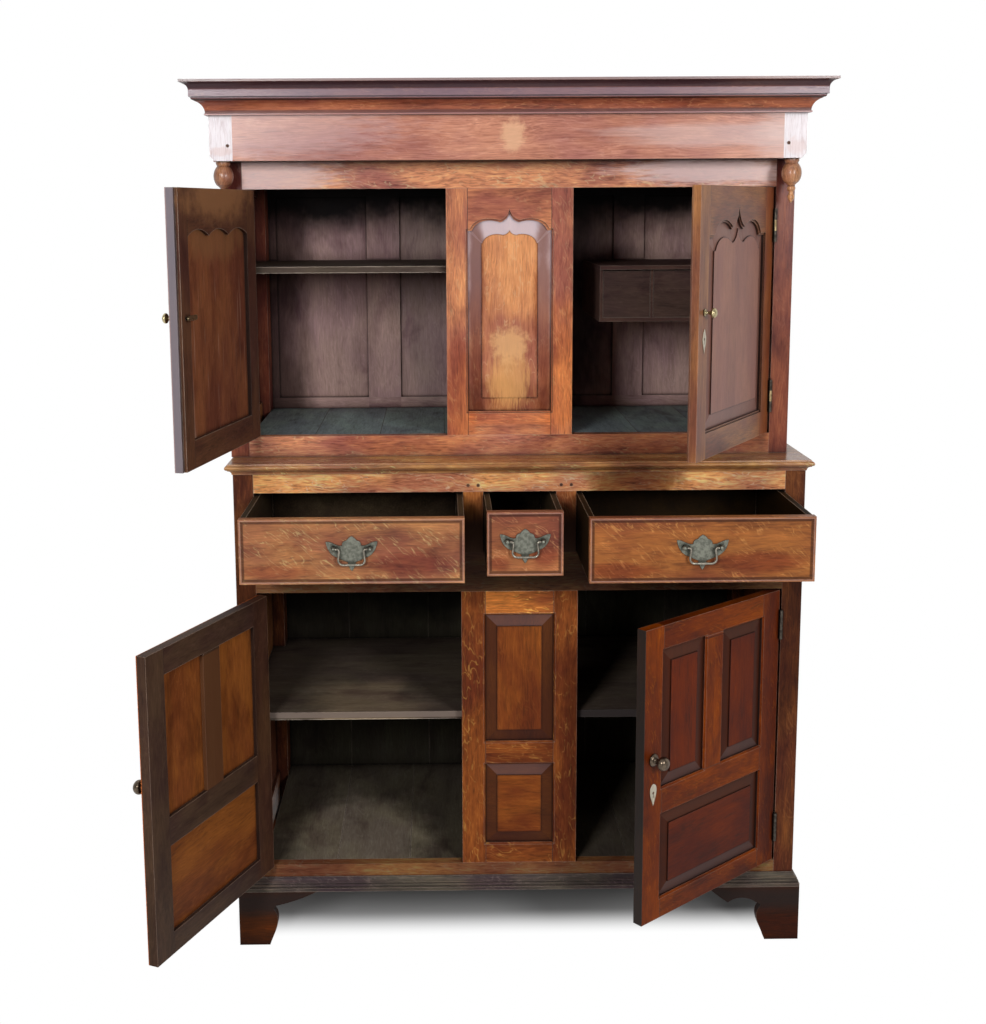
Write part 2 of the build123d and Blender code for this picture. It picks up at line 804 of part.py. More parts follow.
nest_running = 0.4
for name, x_left in (("nest_drawer_left", cavity_left), ("nest_drawer_right", cavity_right)):
    x0 = x_left + nest_gap
    x1 = x_left + nest_cavity - nest_gap
    z0 = nest_floor + nest_running
    front_t = 12.0
    wall = 6.0
    with BuildPart() as nest_drawer_front:
        board(x0, x1, nest_face, nest_face + front_t, z0, nest_drawer_top)
    with BuildPart() as nest_drawer_sides:
        y0 = nest_face + front_t
        y1 = nest_face + nest_drawer_length
        board(x0, x0 + wall, y0, y1, z0, nest_drawer_top - 2)
        board(x1 - wall, x1, y0, y1, z0, nest_drawer_top - 2)
    with BuildPart() as nest_drawer_back:
        board(x0 + wall, x1 - wall, y1 - wall, y1, z0, nest_drawer_top - 2)
    with BuildPart() as nest_drawer_floor:
        board(x0 + wall, x1 - wall, y0, y1 - wall, z0, z0 + wall)
    group(
        name, nest_drawer_front.part, nest_drawer_sides.part,
        nest_drawer_back.part, nest_drawer_floor.part, place=upper_place,
    )

# ==== canopy ===============================================================
frieze_in = frieze_half - canopy_post
side_frieze_in = frieze_half - frieze_thickness
frieze_back = frieze_front + frieze_thickness
canopy_post_back = frieze_front + canopy_post
with BuildPart() as canopy_posts:
    for side in (-1, 1):
        x0 = min(side * frieze_in, side * frieze_half)
        board(x0, x0 + canopy_post, frieze_front, canopy_post_back, canopy_under, frieze_top)
        with BuildSketch(face_at(canopy_post_back)) as corner_cut:
            with BuildLine():
                x = side * frieze_half
                Polyline(
                    (x, canopy_under), (x - side * canopy_chamfer, canopy_under),
                    (x, canopy_under + canopy_chamfer), (x, canopy_under),
                )
            make_face()
        extrude(corner_cut.sketch, amount=canopy_post, mode=Mode.SUBTRACT)
    peg_holes(canopy_pegs)
write(canopy_posts.part, "canopy_posts", canopy_place)

with BuildPart() as frieze_front_rail:
    board(-frieze_in, frieze_in, frieze_front, frieze_back, canopy_under, frieze_top)
with BuildPart() as frieze_side_rails:
    for side in (-1, 1):
        x0 = min(side * side_frieze_in, side * frieze_half)
        board(
            x0, x0 + frieze_thickness, canopy_post_back, upper_back,
            canopy_under, frieze_top,
        )
with BuildPart() as frieze_back_rail:
    board(
        -side_frieze_in, side_frieze_in, upper_back - frieze_thickness, upper_back,
        canopy_under, frieze_top,
    )
group(
    "frieze_rails", frieze_front_rail.part, frieze_side_rails.part, frieze_back_rail.part,
    place=canopy_place,
)

with BuildPart() as canopy_boards:
    for z0 in (canopy_under, frieze_top - canopy_board):
        board(
            -side_frieze_in, side_frieze_in, frieze_back, upper_back - frieze_thickness,
            z0, z0 + canopy_board,
        )
    for side in (-1, 1):
        x0 = min(side * frieze_in, side * frieze_half)
        board(
            x0, x0 + canopy_post, frieze_front, canopy_post_back, 0, height,
            mode=Mode.SUBTRACT,
        )
write(canopy_boards.part, "canopy_boards", canopy_place)


def cornice_profile():
    """Section of the cornice: ovolo, bead, flat fascia, hollow and top fillet."""
    z = frieze_top
    p = cornice_projection
    with BuildLine() as section:
        Polyline((0, z), (8, z), (8, z + 3), (6, z + 4))
        ThreePointArc((6, z + 4), (11, z + 19), (p - 28, z + 28))
        Line((p - 28, z + 28), (p - 26, z + 30))
        ThreePointArc((p - 26, z + 30), (p - 22, z + 31), (p - 21, z + 35))
        Polyline((p - 21, z + 35), (p - 17, z + 36), (p - 17, z + 50))
        ThreePointArc((p - 17, z + 50), (p - 13, z + 59), (p - 3, z + 64))
        Polyline((p - 3, z + 64), (p, z + 65), (p, height), (-frieze_thickness, height))
        Polyline((-frieze_thickness, height), (-frieze_thickness, z), (0, z))
    make_face(section.edges())


# Cornice: one long front length mitred to a return at each end.
corner = (frieze_half, frieze_front, 0)
with BuildPart() as cornice_front:
    with BuildSketch(
        Plane(origin=(-frieze_half - 80, frieze_front, 0), x_dir=(0, -1, 0), z_dir=(-1, 0, 0))
    ):
        cornice_profile()
    extrude(amount=-2 * (frieze_half + 80))
    split(bisect_by=Plane(origin=(-frieze_half, frieze_front, 0), z_dir=(1, -1, 0)))
    split(bisect_by=Plane(origin=corner, z_dir=(-1, -1, 0)))
with BuildPart() as cornice_return:
    with BuildSketch(
        Plane(origin=(frieze_half, frieze_front - 80, 0), x_dir=(1, 0, 0), z_dir=(0, -1, 0))
    ):
        cornice_profile()
    extrude(amount=-(upper_back - frieze_front + 80))
    split(bisect_by=Plane(origin=corner, z_dir=(1, 1, 0)))
group(
    "cornice_moulding", cornice_front.part, cornice_return.part,
    cornice_return.part.mirror(Plane.YZ), place=canopy_place,
)

# Turned pendants dowelled up into the corner posts.
pendant_x = frieze_half - canopy_post / 2
pendant_y = frieze_front + canopy_post / 2
with BuildPart() as pendant:
    with BuildSketch(Plane.XZ):
        with BuildLine():
            Polyline((0, 0), (15, 0), (15.5, -5), (13, -10), (16, -14))
            ThreePointArc((16, -14), (pendant_ball, -34), (15, -50))
            ThreePointArc((15, -50), (10, -54), (6.5, -58))
            ThreePointArc((6.5, -58), (9, -63), (6, -69))
            ThreePointArc((6, -69), (5, -73), (6, -77))
            ThreePointArc((6, -77), (7.6, -82), (5, -88))
            Polyline((5, -88), (2, -93), (0, -94), (0, 0))
        make_face()
    revolve(axis=Axis.Z)
group(
    "pendants",
    pendant.part.moved(Location((pendant_x, pendant_y, canopy_under))),
    pendant.part.moved(Location((-pendant_x, pendant_y, canopy_under))),
    place=canopy_place,
)

# ==== doors ================================================================
# Both doors of a stage are made closed, on the left, and mirrored for the right.
upper_pin_x = upper_open_out - door_gap / 2
upper_pin_y = upper_front - hinge_offset
lower_pin_x = lower_open_out - door_gap / 2
lower_pin_y = -hinge_offset

# Upper door: two stiles, an ogee-arched top rail and a foot rail round one panel.
ud_x0 = -upper_open_out + door_gap
ud_x1 = -upper_bay_half - door_gap
ud_z0 = upper_sill_top + door_gap
ud_z1 = upper_head - door_gap
ud_y1 = upper_front + door_thickness
ud_middle = (ud_x0 + ud_x1) / 2
ud_half = (ud_x1 - ud_x0) / 2 - door_stile
door_arch = (
    ud_middle, ud_half, door_foot_rail_top, door_arch_spring,
    door_arch_hump, door_arch_dip, door_arch_tip, door_arch_shoulder,
)
knob_inset = 30.0
upper_knob_z = upper_sill_top + 296.0
lower_knob_z = 545.0
spindle_radius = 3.0
spindle_clearance = 0.05
knob_shank = 4.0
rebate_depth = 6.0
rebate_width = 8.0


upper_knob_x = ud_x1 - knob_inset
with BuildPart() as upper_door_stiles:
    board(ud_x0, ud_x0 + door_stile, upper_front, ud_y1, ud_z0, ud_z1)
    board(ud_x1 - door_stile, ud_x1, upper_front, ud_y1, ud_z0, ud_z1)
    panel_groove(
        ud_middle - ud_half, ud_middle + ud_half, door_foot_rail_top, door_arch_tip,
        upper_front,
    )
    arch_mould(door_arch, upper_front)
    board(
        ud_x1 - rebate_width, ud_x1, ud_y1 - rebate_depth, ud_y1, ud_z0, ud_z1,
        mode=Mode.SUBTRACT,
    )
    door_leaf_cut(ud_x0, upper_front, upper_hinge_spans, 1)
    bore(
        upper_knob_x, upper_knob_z, upper_front, ud_y1,
        spindle_radius + spindle_clearance,
    )
with BuildPart() as upper_door_rails:
    x0 = ud_middle - ud_half
    x1 = ud_middle + ud_half
    board(x0, x1, upper_front, ud_y1, door_arch_spring, ud_z1)
    board(x0, x1, upper_front, ud_y1, ud_z0, door_foot_rail_top)
    panel_back = upper_front + groove_set_back + groove_width
    with BuildSketch(face_at(panel_back)) as door_arch_cut:
        arched_shape(*door_arch)
    extrude(door_arch_cut.sketch, amount=groove_set_back + groove_width, mode=Mode.SUBTRACT)
    with BuildSketch(face_at(ud_y1)) as rough_cut:
        rough_opening(ud_middle, ud_half, door_foot_rail_top)
    extrude(rough_cut.sketch, amount=ud_y1 - panel_back, mode=Mode.SUBTRACT)
    panel_groove(x0, x1, door_foot_rail_top, door_arch_tip, upper_front)
    arch_mould(door_arch, upper_front)
with BuildPart() as upper_door_panel:
    arched_panel(*door_arch, upper_front)

# Lower door: two stiles, three rails and a muntin round three fielded panels.
ld_x0 = -lower_open_out + door_gap
ld_x1 = -lower_bay_half - door_gap
ld_z0 = sill_top + door_gap
ld_z1 = door_head - door_gap
ld_middle = (ld_x0 + ld_x1) / 2
ld_in0 = ld_x0 + lower_door_stile
ld_in1 = ld_x1 - lower_door_stile
ld_foot_top = bay_foot_rail_top
ld_mid_low = 418.0
ld_openings = (
    (ld_in0, ld_middle - door_muntin / 2, bay_mid_top, bay_head_rail_bottom),
    (ld_middle + door_muntin / 2, ld_in1, bay_mid_top, bay_head_rail_bottom),
    (ld_in0, ld_in1, ld_foot_top, ld_mid_low),
)
lower_knob_x = ld_x1 - knob_inset
with BuildPart() as lower_door_stiles:
    board(ld_x0, ld_in0, 0, door_thickness, ld_z0, ld_z1)
    board(ld_in1, ld_x1, 0, door_thickness, ld_z0, ld_z1)
    board(
        ld_middle - door_muntin / 2, ld_middle + door_muntin / 2,
        0, door_thickness, bay_mid_top, bay_head_rail_bottom,
    )
    for opening in ld_openings:
        panel_groove(*opening, 0)
        worked_edge(*opening, 0)
    door_leaf_cut(ld_x0, 0, lower_hinge_spans, 1)
    bore(lower_knob_x, lower_knob_z, 0, 14, knob_shank)
with BuildPart() as lower_door_rails:
    board(ld_in0, ld_in1, 0, door_thickness, bay_head_rail_bottom, ld_z1)
    board(ld_in0, ld_in1, 0, door_thickness, ld_mid_low, bay_mid_top)
    board(ld_in0, ld_in1, 0, door_thickness, ld_z0, ld_foot_top)
    for opening in ld_openings:
        panel_groove(*opening, 0)
        worked_edge(*opening, 0)
with BuildPart() as lower_door_panels:
    for opening in ld_openings:
        fielded_panel(*opening, 0)


# Butt hinges: leaf, knuckles and pin. The post's leaf keeps the pin.
def knuckle_spans(low, high):
    """Heights of the lower, middle and upper knuckle of one hinge."""
    third = (high - low) / 3
    return (
        (low, low + third - knuckle_gap / 2),
        (low + third + knuckle_gap / 2, high - third - knuckle_gap / 2),
        (high - third + knuckle_gap / 2, high),
    )


def hinge_half(pin_x, pin_y, low, high, way, ends, hole):
    """One leaf let into the wood, with the knuckles that are its own."""
    near = pin_x + way * leaf_apart / 2
    far = near + way * hinge_leaf
    x0, x1 = min(near, far), max(near, far)
    board(x0, x1, pin_y + hinge_offset, pin_y + hinge_offset + leaf_reach, low, high)
    lower, middle, upper = knuckle_spans(low, high)
    for z0, z1 in ((lower, upper) if ends else (middle,)):
        board(x0, x1, pin_y, pin_y + hinge_offset, z0, z1)
        with Locations((pin_x, pin_y, (z0 + z1) / 2)):
            Cylinder(hinge_barrel, z1 - z0)
    with Locations((pin_x, pin_y, (low + high) / 2)):
        Cylinder(hole, high - low, mode=Mode.SUBTRACT)


def hinge_set(pin_x, pin_y, spans, way, ends, hole):
    """The same half of every hinge on one door."""
    with BuildPart() as halves:
        for low, high in spans:
            hinge_half(pin_x, pin_y, low, high, way, ends, hole)
    return halves.part


def pins(x, y, spans):
    """The pins of one stage's hinges, left and right."""
    for low, high in spans:
        for side in (-1, 1):
            with Locations((side * x, y, (low + high) / 2)):
                Cylinder(hinge_pin, high - low)


with BuildPart() as upper_pins:
    pins(upper_pin_x, upper_pin_y, upper_hinge_spans)
with BuildPart() as lower_pins:
    pins(lower_pin_x, lower_pin_y, lower_hinge_spans)
upper_door_leaves = hinge_set(
    -upper_pin_x, upper_pin_y, upper_hinge_spans, 1, False, hinge_pin + pin_clearance
)
lower_door_leaves = hinge_set(
    -lower_pin_x, lower_pin_y, lower_hinge_spans, 1, False, hinge_pin + pin_clearance
)
upper_post_leaves = hinge_set(
    -upper_pin_x, upper_pin_y, upper_hinge_spans, -1, True, hinge_pin
)
lower_post_leaves = hinge_set(
    -lower_pin_x, lower_pin_y, lower_hinge_spans, -1, True, hinge_pin
)
group(
    "post_hinges", upper_post_leaves.moved(upper_place),
    upper_post_leaves.mirror(Plane.YZ).moved(upper_place),
    lower_post_leaves, lower_post_leaves.mirror(Plane.YZ),
    upper_pins.part.moved(upper_place), lower_pins.part,
)

# Brass knob of an upper door, on a spindle; the left one turns a catch inside.
with BuildPart() as brass_knob:
    with BuildSketch(Plane.XZ):
        with BuildLine():
            Polyline((0, 0), (7, 0), (7, 1.5))
            ThreePointArc((7, 1.5), (4, 4), (3.2, 9))
            ThreePointArc((3.2, 9), (4.5, 13), (8.5, 16))
            ThreePointArc((8.5, 16), (10, 19), (8, 22.5))
            ThreePointArc((8, 22.5), (5.5, 24.4), (2, 25.3))
            Polyline((2, 25.3), (0, 25.5), (0, 0))
        make_face()
    revolve(axis=Axis.Z)
knob_lift = 0.3
knob_forward = Location((upper_knob_x, upper_front - knob_lift, upper_knob_z), (90, 0, 0))
catch_y = upper_rail_back + 2.0
catch_thickness = 3.0
catch_length = 46.0
catch_width = 10.0
with BuildPart() as catch_spindle:
    add(brass_knob.part.moved(knob_forward))
    bore(
        upper_knob_x, upper_knob_z, upper_front - knob_lift, catch_y + catch_thickness,
        spindle_radius, mode=Mode.ADD,
    )
    with BuildSketch(face_at(catch_y + catch_thickness)):
        with Locations((upper_knob_x - catch_length / 2 + catch_width / 2, upper_knob_z)):
            SlotOverall(catch_length, catch_width)
    extrude(amount=catch_thickness)
with BuildPart() as fixed_upper_knob:
    add(brass_knob.part.moved(Location((0, knob_lift, 0)) * knob_forward))
    bore(
        upper_knob_x, upper_knob_z, upper_front, ud_y1,
        spindle_radius + spindle_clearance, mode=Mode.ADD,
    )

# Turned knob of a lower door, with a shank let into the stile.
with BuildPart() as turned_knob:
    with BuildSketch(Plane.XZ):
        with BuildLine():
            Polyline((0, 0), (13, 0), (13, 2))
            ThreePointArc((13, 2), (10, 5), (6.5, 7))
            ThreePointArc((6.5, 7), (5, 13), (7, 18))
            ThreePointArc((7, 18), (13, 21), (14.5, 27))
            ThreePointArc((14.5, 27), (11.5, 33.5), (4, 37))
            Polyline((4, 37), (0, 37.5), (0, 0))
        make_face()
    revolve(axis=Axis.Z)
with BuildPart() as lower_knob:
    add(turned_knob.part.moved(Location((lower_knob_x, 0, lower_knob_z), (90, 0, 0))))
    bore(lower_knob_x, lower_knob_z, 0, 14, knob_shank, mode=Mode.ADD)

# Bone escutcheons of the right doors, with keyholes.
escutcheon_thickness = 1.2
upper_escutcheon_z = upper_knob_z - 56.0
lower_escutcheon_z = lower_knob_z - 75.0


def keyhole(x, z, y, depth):
    """The keyhole, a round above a slot."""
    with BuildSketch(face_at(y)) as hole:
        with Locations((x, z + 4)):
            Circle(3)
        with Locations((x, z - 1)):
            Rectangle(2.4, 10)
    extrude(hole.sketch, amount=depth, mode=Mode.SUBTRACT)


with BuildPart() as upper_escutcheon:
    with BuildSketch(face_at(upper_front)):
        with BuildLine():
            x = upper_knob_x
            z = upper_escutcheon_z
            Spline((x, z + 24), (x + 4, z + 17), (x + 8, z + 8), (x + 8, z - 2), (x + 3, z - 14), (x, z - 24))
            Spline((x, z + 24), (x - 4, z + 17), (x - 8, z + 8), (x - 8, z - 2), (x - 3, z - 14), (x, z - 24))
        make_face()
    extrude(amount=escutcheon_thickness)
    keyhole(upper_knob_x, upper_escutcheon_z, upper_front, escutcheon_thickness)
with BuildPart() as lower_escutcheon:
    with BuildSketch(face_at(0)):
        with BuildLine():
            x = lower_knob_x
            z = lower_escutcheon_z
            Spline((x, z + 24), (x + 9, z + 15), (x + 9.5, z + 4), (x, z - 24))
            Spline((x, z + 24), (x - 9, z + 15), (x - 9.5, z + 4), (x, z - 24))
        make_face()
    extrude(amount=escutcheon_thickness)
    keyhole(lower_knob_x, lower_escutcheon_z, 0, escutcheon_thickness)


def hang(name, pieces, pin_x, pin_y, degrees, right, place=Location()):
    """Hang one door's pieces on its pins at its resting angle, on the left or right."""
    solids = [s for p in pieces for s in p.solids()]
    if right:
        solids = [s.mirror(Plane.YZ) for s in solids]
    x = pin_x if right else -pin_x
    turn = degrees if right else -degrees
    write(Compound(children=[swung(s, x, pin_y, turn).moved(place) for s in solids]), name)


for right, upper_open, lower_open in (
    (False, upper_left_open, lower_left_open),
    (True, upper_right_open, lower_right_open),
):
    hand = "right" if right else "left"
    upper = (upper_pin_x, upper_pin_y, upper_open, right, upper_place)
    lower = (lower_pin_x, lower_pin_y, lower_open, right)
    hang(f"upper_{hand}_door_frame", (upper_door_stiles.part, upper_door_rails.part), *upper)
    hang(f"upper_{hand}_door_panel", (upper_door_panel.part,), *upper)
    hang(f"upper_{hand}_door_hinges", (upper_door_leaves,), *upper)
    hang(f"lower_{hand}_door_frame", (lower_door_stiles.part, lower_door_rails.part), *lower)
    hang(f"lower_{hand}_door_panels", (lower_door_panels.part,), *lower)
    hang(f"lower_{hand}_door_hinges", (lower_door_leaves,), *lower)
    hang(f"lower_{hand}_door_knob", (lower_knob.part,), *lower)
upper = (upper_pin_x, upper_pin_y)
hang("upper_left_door_catch", (catch_spindle.part,), *upper, upper_left_open, False, upper_place)
hang("upper_right_door_knob", (fixed_upper_knob.part,), *upper, upper_right_open, True, upper_place)
hang("upper_escutcheon", (upper_escutcheon.part,), *upper, upper_right_open, True, upper_place)
hang("lower_escutcheon", (lower_escutcheon.part,), lower_pin_x, lower_pin_y, lower_right_open, True)

# ==== front drawers ========================================================
plate_y = bead_rise
handle_z = (drawer_floor + drawer_head) / 2 + 5.5


def plate_outline(x, z):
    """Outline of a batwing plate: crested middle, two scrolled wings and a pointed foot."""
    with BuildLine() as outline:
        for way in (-1, 1):
            Spline((x, z + 25), (x + way * 5, z + 22), (x + way * 10, z + 16))
            Spline((x + way * 10, z + 16), (x + way * 17, z + 13), (x + way * 19, z + 6))
            Spline(
                (x + way * 19, z + 6), (x + way * 27, z + 6), (x + way * 39, z + 11),
                (x + way * 52, z + 14),
            )
            Spline(
                (x + way * 52, z + 14), (x + way * 49, z + 2), (x + way * 42, z - 10),
                (x + way * 28, z - 19),
            )
            Spline((x + way * 28, z - 19), (x + way * 18, z - 24), (x + way * 8, z - 28))
            Spline((x + way * 8, z - 28), (x + way * 5, z - 38), (x, z - 47))
    make_face(outline.edges())


# The swan bail: pins at both ends stand in the eyes, the grip hangs below them.
with BuildPart() as bail:
    end = handle_posts / 2 + eye_radius
    with BuildLine() as bail_path:
        FilletPolyline(
            (-end, 0, 0), (-24, 0, 0), (-28, 0, -bail_drop), (28, 0, -bail_drop),
            (24, 0, 0), (end, 0, 0), radius=(4.5, 10, 10, 4.5),
        )
    with BuildSketch(Plane(origin=(-end, 0, 0), z_dir=(1, 0, 0))):
        Circle(bail_radius)
    sweep()

drawers = (
    ("left", -lower_open_out, -muntin_out, left_drawer_out),
    ("centre", -muntin_in, muntin_in, centre_drawer_out),
    ("right", muntin_out, lower_open_out, right_drawer_out),
)
for hand, opening_x0, opening_x1, drawn in drawers:
    x0 = opening_x0 + drawer_side_gap
    x1 = opening_x1 - drawer_side_gap
    z0 = drawer_floor + drawer_running_gap
    z1 = drawer_head - drawer_top_gap
    middle = (x0 + x1) / 2
    pull = Location((0, -drawn, 0))
    posts_x = (middle - handle_posts / 2, middle + handle_posts / 2)

    # Front board with a bead standing up round its edge.
    with BuildPart() as front:
        board(x0, x1, 0, drawer_front, z0, z1)
        board(
            x0 + drawer_bead, x1 - drawer_bead, 0, bead_rise,
            z0 + drawer_bead, z1 - drawer_bead, mode=Mode.SUBTRACT,
        )
        for x in posts_x:
            bore(x, handle_z, 0, drawer_front - 6, post_radius)
    write(front.part.moved(pull), f"{hand}_drawer_front")

    # Box: two sides nailed to the front, a back between them and a bottom board.
    with BuildPart() as sides:
        board(x0, x0 + drawer_side, drawer_front, drawer_length, z0, z1 - 3)
        board(x1 - drawer_side, x1, drawer_front, drawer_length, z0, z1 - 3)
    with BuildPart() as back:
        board(
            x0 + drawer_side, x1 - drawer_side,
            drawer_length - drawer_side, drawer_length, z0, z1 - 3,
        )
    with BuildPart() as bottom:
        board(
            x0 + drawer_side, x1 - drawer_side, drawer_front, drawer_length - drawer_side,
            z0, z0 + drawer_bottom,
        )
    group(
        f"{hand}_drawer_box", sides.part.moved(pull), back.part.moved(pull),
        bottom.part.moved(pull),
    )

    # Cast batwing plate and the two turned posts whose eyes hold the bail.
    with BuildPart() as plate:
        with BuildSketch(face_at(plate_y)) as plate_sketch:
            plate_outline(middle, handle_z)
        extrude(plate_sketch.sketch, amount=plate_thickness)
        for x in posts_x:
            bore(x, handle_z, -plate_thickness, drawer_front, post_radius)
    eye_y = plate_y - plate_thickness - eye_stand_off
    with BuildPart() as posts:
        for x in posts_x:
            bore(x, handle_z, eye_y, drawer_front - 6, post_radius, mode=Mode.ADD)
            with Locations((x, eye_y, handle_z)):
                Sphere(eye_radius)
        with Locations(Location((middle, eye_y, handle_z), (0, 90, 0))):
            Cylinder(bail_radius + bail_clearance, 2 * handle_posts, mode=Mode.SUBTRACT)
    group(f"{hand}_handle_plate", plate.part.moved(pull), posts.part.moved(pull))
    hung = Location((middle, eye_y - drawn, handle_z))
    write(bail.part.moved(hung), f"{hand}_bail")

# ==== pegs =================================================================
# Oak pegs driven through the joints of the front, standing a hair proud.
def pegs(places):
    """Pegs in the holes at the given places."""
    for x, z, front_y in places:
        bore(x, z, front_y - peg_proud, front_y + peg_depth, peg_radius, mode=Mode.ADD)


with BuildPart() as lower_pegs:
    pegs(rail_pegs)
with BuildPart() as upper_pegs:
    pegs(canopy_pegs)
group("frame_pegs", lower_pegs.part, upper_pegs.part.moved(canopy_place))
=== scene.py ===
import json
import math

import bpy
from mathutils import Matrix, Vector

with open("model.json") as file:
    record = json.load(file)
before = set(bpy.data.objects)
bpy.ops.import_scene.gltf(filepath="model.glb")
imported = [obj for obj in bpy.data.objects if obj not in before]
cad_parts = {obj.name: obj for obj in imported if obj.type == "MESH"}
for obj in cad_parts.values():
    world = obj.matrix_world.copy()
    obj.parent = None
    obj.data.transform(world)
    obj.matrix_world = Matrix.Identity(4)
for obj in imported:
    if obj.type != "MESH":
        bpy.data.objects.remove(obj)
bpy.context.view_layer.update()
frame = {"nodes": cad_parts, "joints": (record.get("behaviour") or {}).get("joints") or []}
piece = frame["nodes"]


# ---- Posts of the lower stage ----------------------------------------------
# Four squared oak posts, quarter-sawn and waxed for centuries. The front pair is
# dark at the outer edge and carries the doors; the rails stand between the posts.
def put(tree, kind, inputs=None, **settings):
    """Adds one shader node. An input that is a socket is linked, any other is set."""
    made = tree.nodes.new("ShaderNode" + kind)
    for name, value in settings.items():
        setattr(made, name, value)
    for name, value in (inputs or {}).items():
        if isinstance(value, bpy.types.NodeSocket):
            tree.links.new(value, made.inputs[name])
        else:
            made.inputs[name].default_value = value
    return made


def work_out(tree, operation, a, b=0.0, clamp=False):
    """One sum of two numbers."""
    return put(tree, "Math", {0: a, 1: b}, operation=operation, use_clamp=clamp).outputs[0]


def vector_sum(tree, operation, a, b):
    """One sum of two vectors."""
    return put(tree, "VectorMath", {0: a, 1: b}, operation=operation).outputs[0]


def parts_of(tree, vector):
    """The three parts of a vector."""
    return put(tree, "SeparateXYZ", {0: vector}).outputs


def blend(tree, share, a, b, how="MIX"):
    """One colour blended into another."""
    return put(
        tree, "Mix", {0: share, 6: a, 7: b}, data_type="RGBA", blend_type=how
    ).outputs[2]


def ramp(tree, value, low, high, to_low=0.0, to_high=1.0):
    """A value that rises smoothly from to_low to to_high between low and high."""
    return put(
        tree, "MapRange",
        {"Value": value, "From Min": low, "From Max": high, "To Min": to_low, "To Max": to_high},
        interpolation_type="SMOOTHSTEP",
    ).outputs[0]


def noise(tree, where, detail=2.0, rough=0.5, distortion=0.0, scale=1.0):
    """Cloudy noise from 0 to 1."""
    return put(
        tree, "TexNoise",
        {"Vector": where, "Scale": scale, "Detail": detail, "Roughness": rough,
         "Distortion": distortion},
    ).outputs["Fac"]


def spread(tree, where, scales, detail=2.0, rough=0.5, distortion=0.0):
    """Noise with its own scale along each axis."""
    return noise(tree, vector_sum(tree, "MULTIPLY", where, scales), detail, rough, distortion)


def closeness(tree, reach):
    """How open the surface is: 1 in the open, less where something stands within reach."""
    return put(tree, "AmbientOcclusion", {"Distance": reach}, samples=6).outputs["AO"]


def new_group(name, inputs, outputs):
    """A shader node group with named inputs and outputs."""
    group = bpy.data.node_groups.new(name, "ShaderNodeTree")
    kinds = {"vector": "NodeSocketVector", "value": "NodeSocketFloat", "colour": "NodeSocketColor"}
    for label, kind, value in inputs:
        socket = group.interface.new_socket(label, in_out="INPUT", socket_type=kinds[kind])
        socket.default_value = value
    for label, kind in outputs:
        group.interface.new_socket(label, in_out="OUTPUT", socket_type=kinds[kind])
    start = group.nodes.new("NodeGroupInput")
    end = group.nodes.new("NodeGroupOutput")
    return group, start.outputs, end.inputs


# Old oak: grain along Z of the board, wavy figure and curved ray flecks, dark
# pores, stains, grime with painted shade in the corners and creases, seams between
# boards, and edges worn paler, painted dark instead as shade lines round fielded panels.
old_oak, given, result = new_group(
    "Old oak",
    [
        ("Board", "vector", (0, 0, 0)), ("Seed", "value", 0.0), ("Seam", "value", 0.0),
        ("Dark", "colour", (0.05, 0.02, 0.01, 1)), ("Mid", "colour", (0.2, 0.08, 0.03, 1)),
        ("Light", "colour", (0.4, 0.2, 0.08, 1)), ("Fleck", "colour", (0.6, 0.35, 0.13, 1)),
        ("Fleck Amount", "value", 0.6), ("Fleck Slant", "value", 0.35), ("Figure", "value", 0.4),
        ("Stain", "value", 0.5), ("Grime", "value", 0.7), ("Rubbed", "value", 0.5),
        ("Rubbed Colour", "colour", (0.45, 0.28, 0.2, 1)), ("Scratches", "value", 0.0),
        ("Gloss", "value", 0.4), ("Edge", "value", 0.0022), ("Mottle", "value", 1.0),
    ],
    [("Colour", "colour"), ("Roughness", "value"), ("Height", "value")],
)
seeded = put(
    old_oak, "VectorMath", {0: given["Seed"], 1: (3.17, 1.93, 7.41), 2: given["Board"]},
    operation="MULTIPLY_ADD",
).outputs[0]

# The grain wavers a little along the board.
waver = spread(old_oak, seeded, (9, 9, 2.6))
waver = work_out(old_oak, "MULTIPLY", work_out(old_oak, "SUBTRACT", waver, 0.5), 0.06)
waver = put(old_oak, "CombineXYZ", {0: waver, 1: waver, 2: 0.0}).outputs[0]
grown = vector_sum(old_oak, "ADD", seeded, waver)
band = spread(old_oak, grown, (34, 34, 3.5), 4.0, 0.6)
streak = spread(old_oak, grown, (420, 420, 20), 3.0, 0.6)
figure = spread(old_oak, grown, (250, 250, 34), 3.0, 0.55, 0.6)
pores = ramp(old_oak, spread(old_oak, grown, (420, 420, 36), 2.0, 0.6), 0.58, 0.7)
fine = put(old_oak, "Mix", {0: given["Figure"], 2: streak, 3: figure}).outputs[0]
tone = put(old_oak, "Mix", {0: 0.4, 2: fine, 3: band}).outputs[0]
tone = ramp(old_oak, tone, 0.22, 0.78)

# Ray flecks lie at a slant to the grain, in patches.
across, depth, along = parts_of(old_oak, grown)
slanted = put(old_oak, "CombineXYZ", {
    0: work_out(old_oak, "ADD", across, work_out(old_oak, "MULTIPLY", along, given["Fleck Slant"])),
    1: depth, 2: along,
}).outputs[0]
flecks = spread(old_oak, slanted, (95, 50, 26), 1.5, 0.5, 0.4)
flecks = work_out(old_oak, "ABSOLUTE", work_out(old_oak, "SUBTRACT", flecks, 0.5))
flecks = ramp(old_oak, flecks, 0.03, 0.004)
patches = ramp(old_oak, spread(old_oak, seeded, (34, 34, 15), 3.0, 0.6), 0.42, 0.6)
flecks = work_out(old_oak, "MULTIPLY", flecks, patches)
flecks = work_out(old_oak, "MULTIPLY", flecks, given["Fleck Amount"], True)

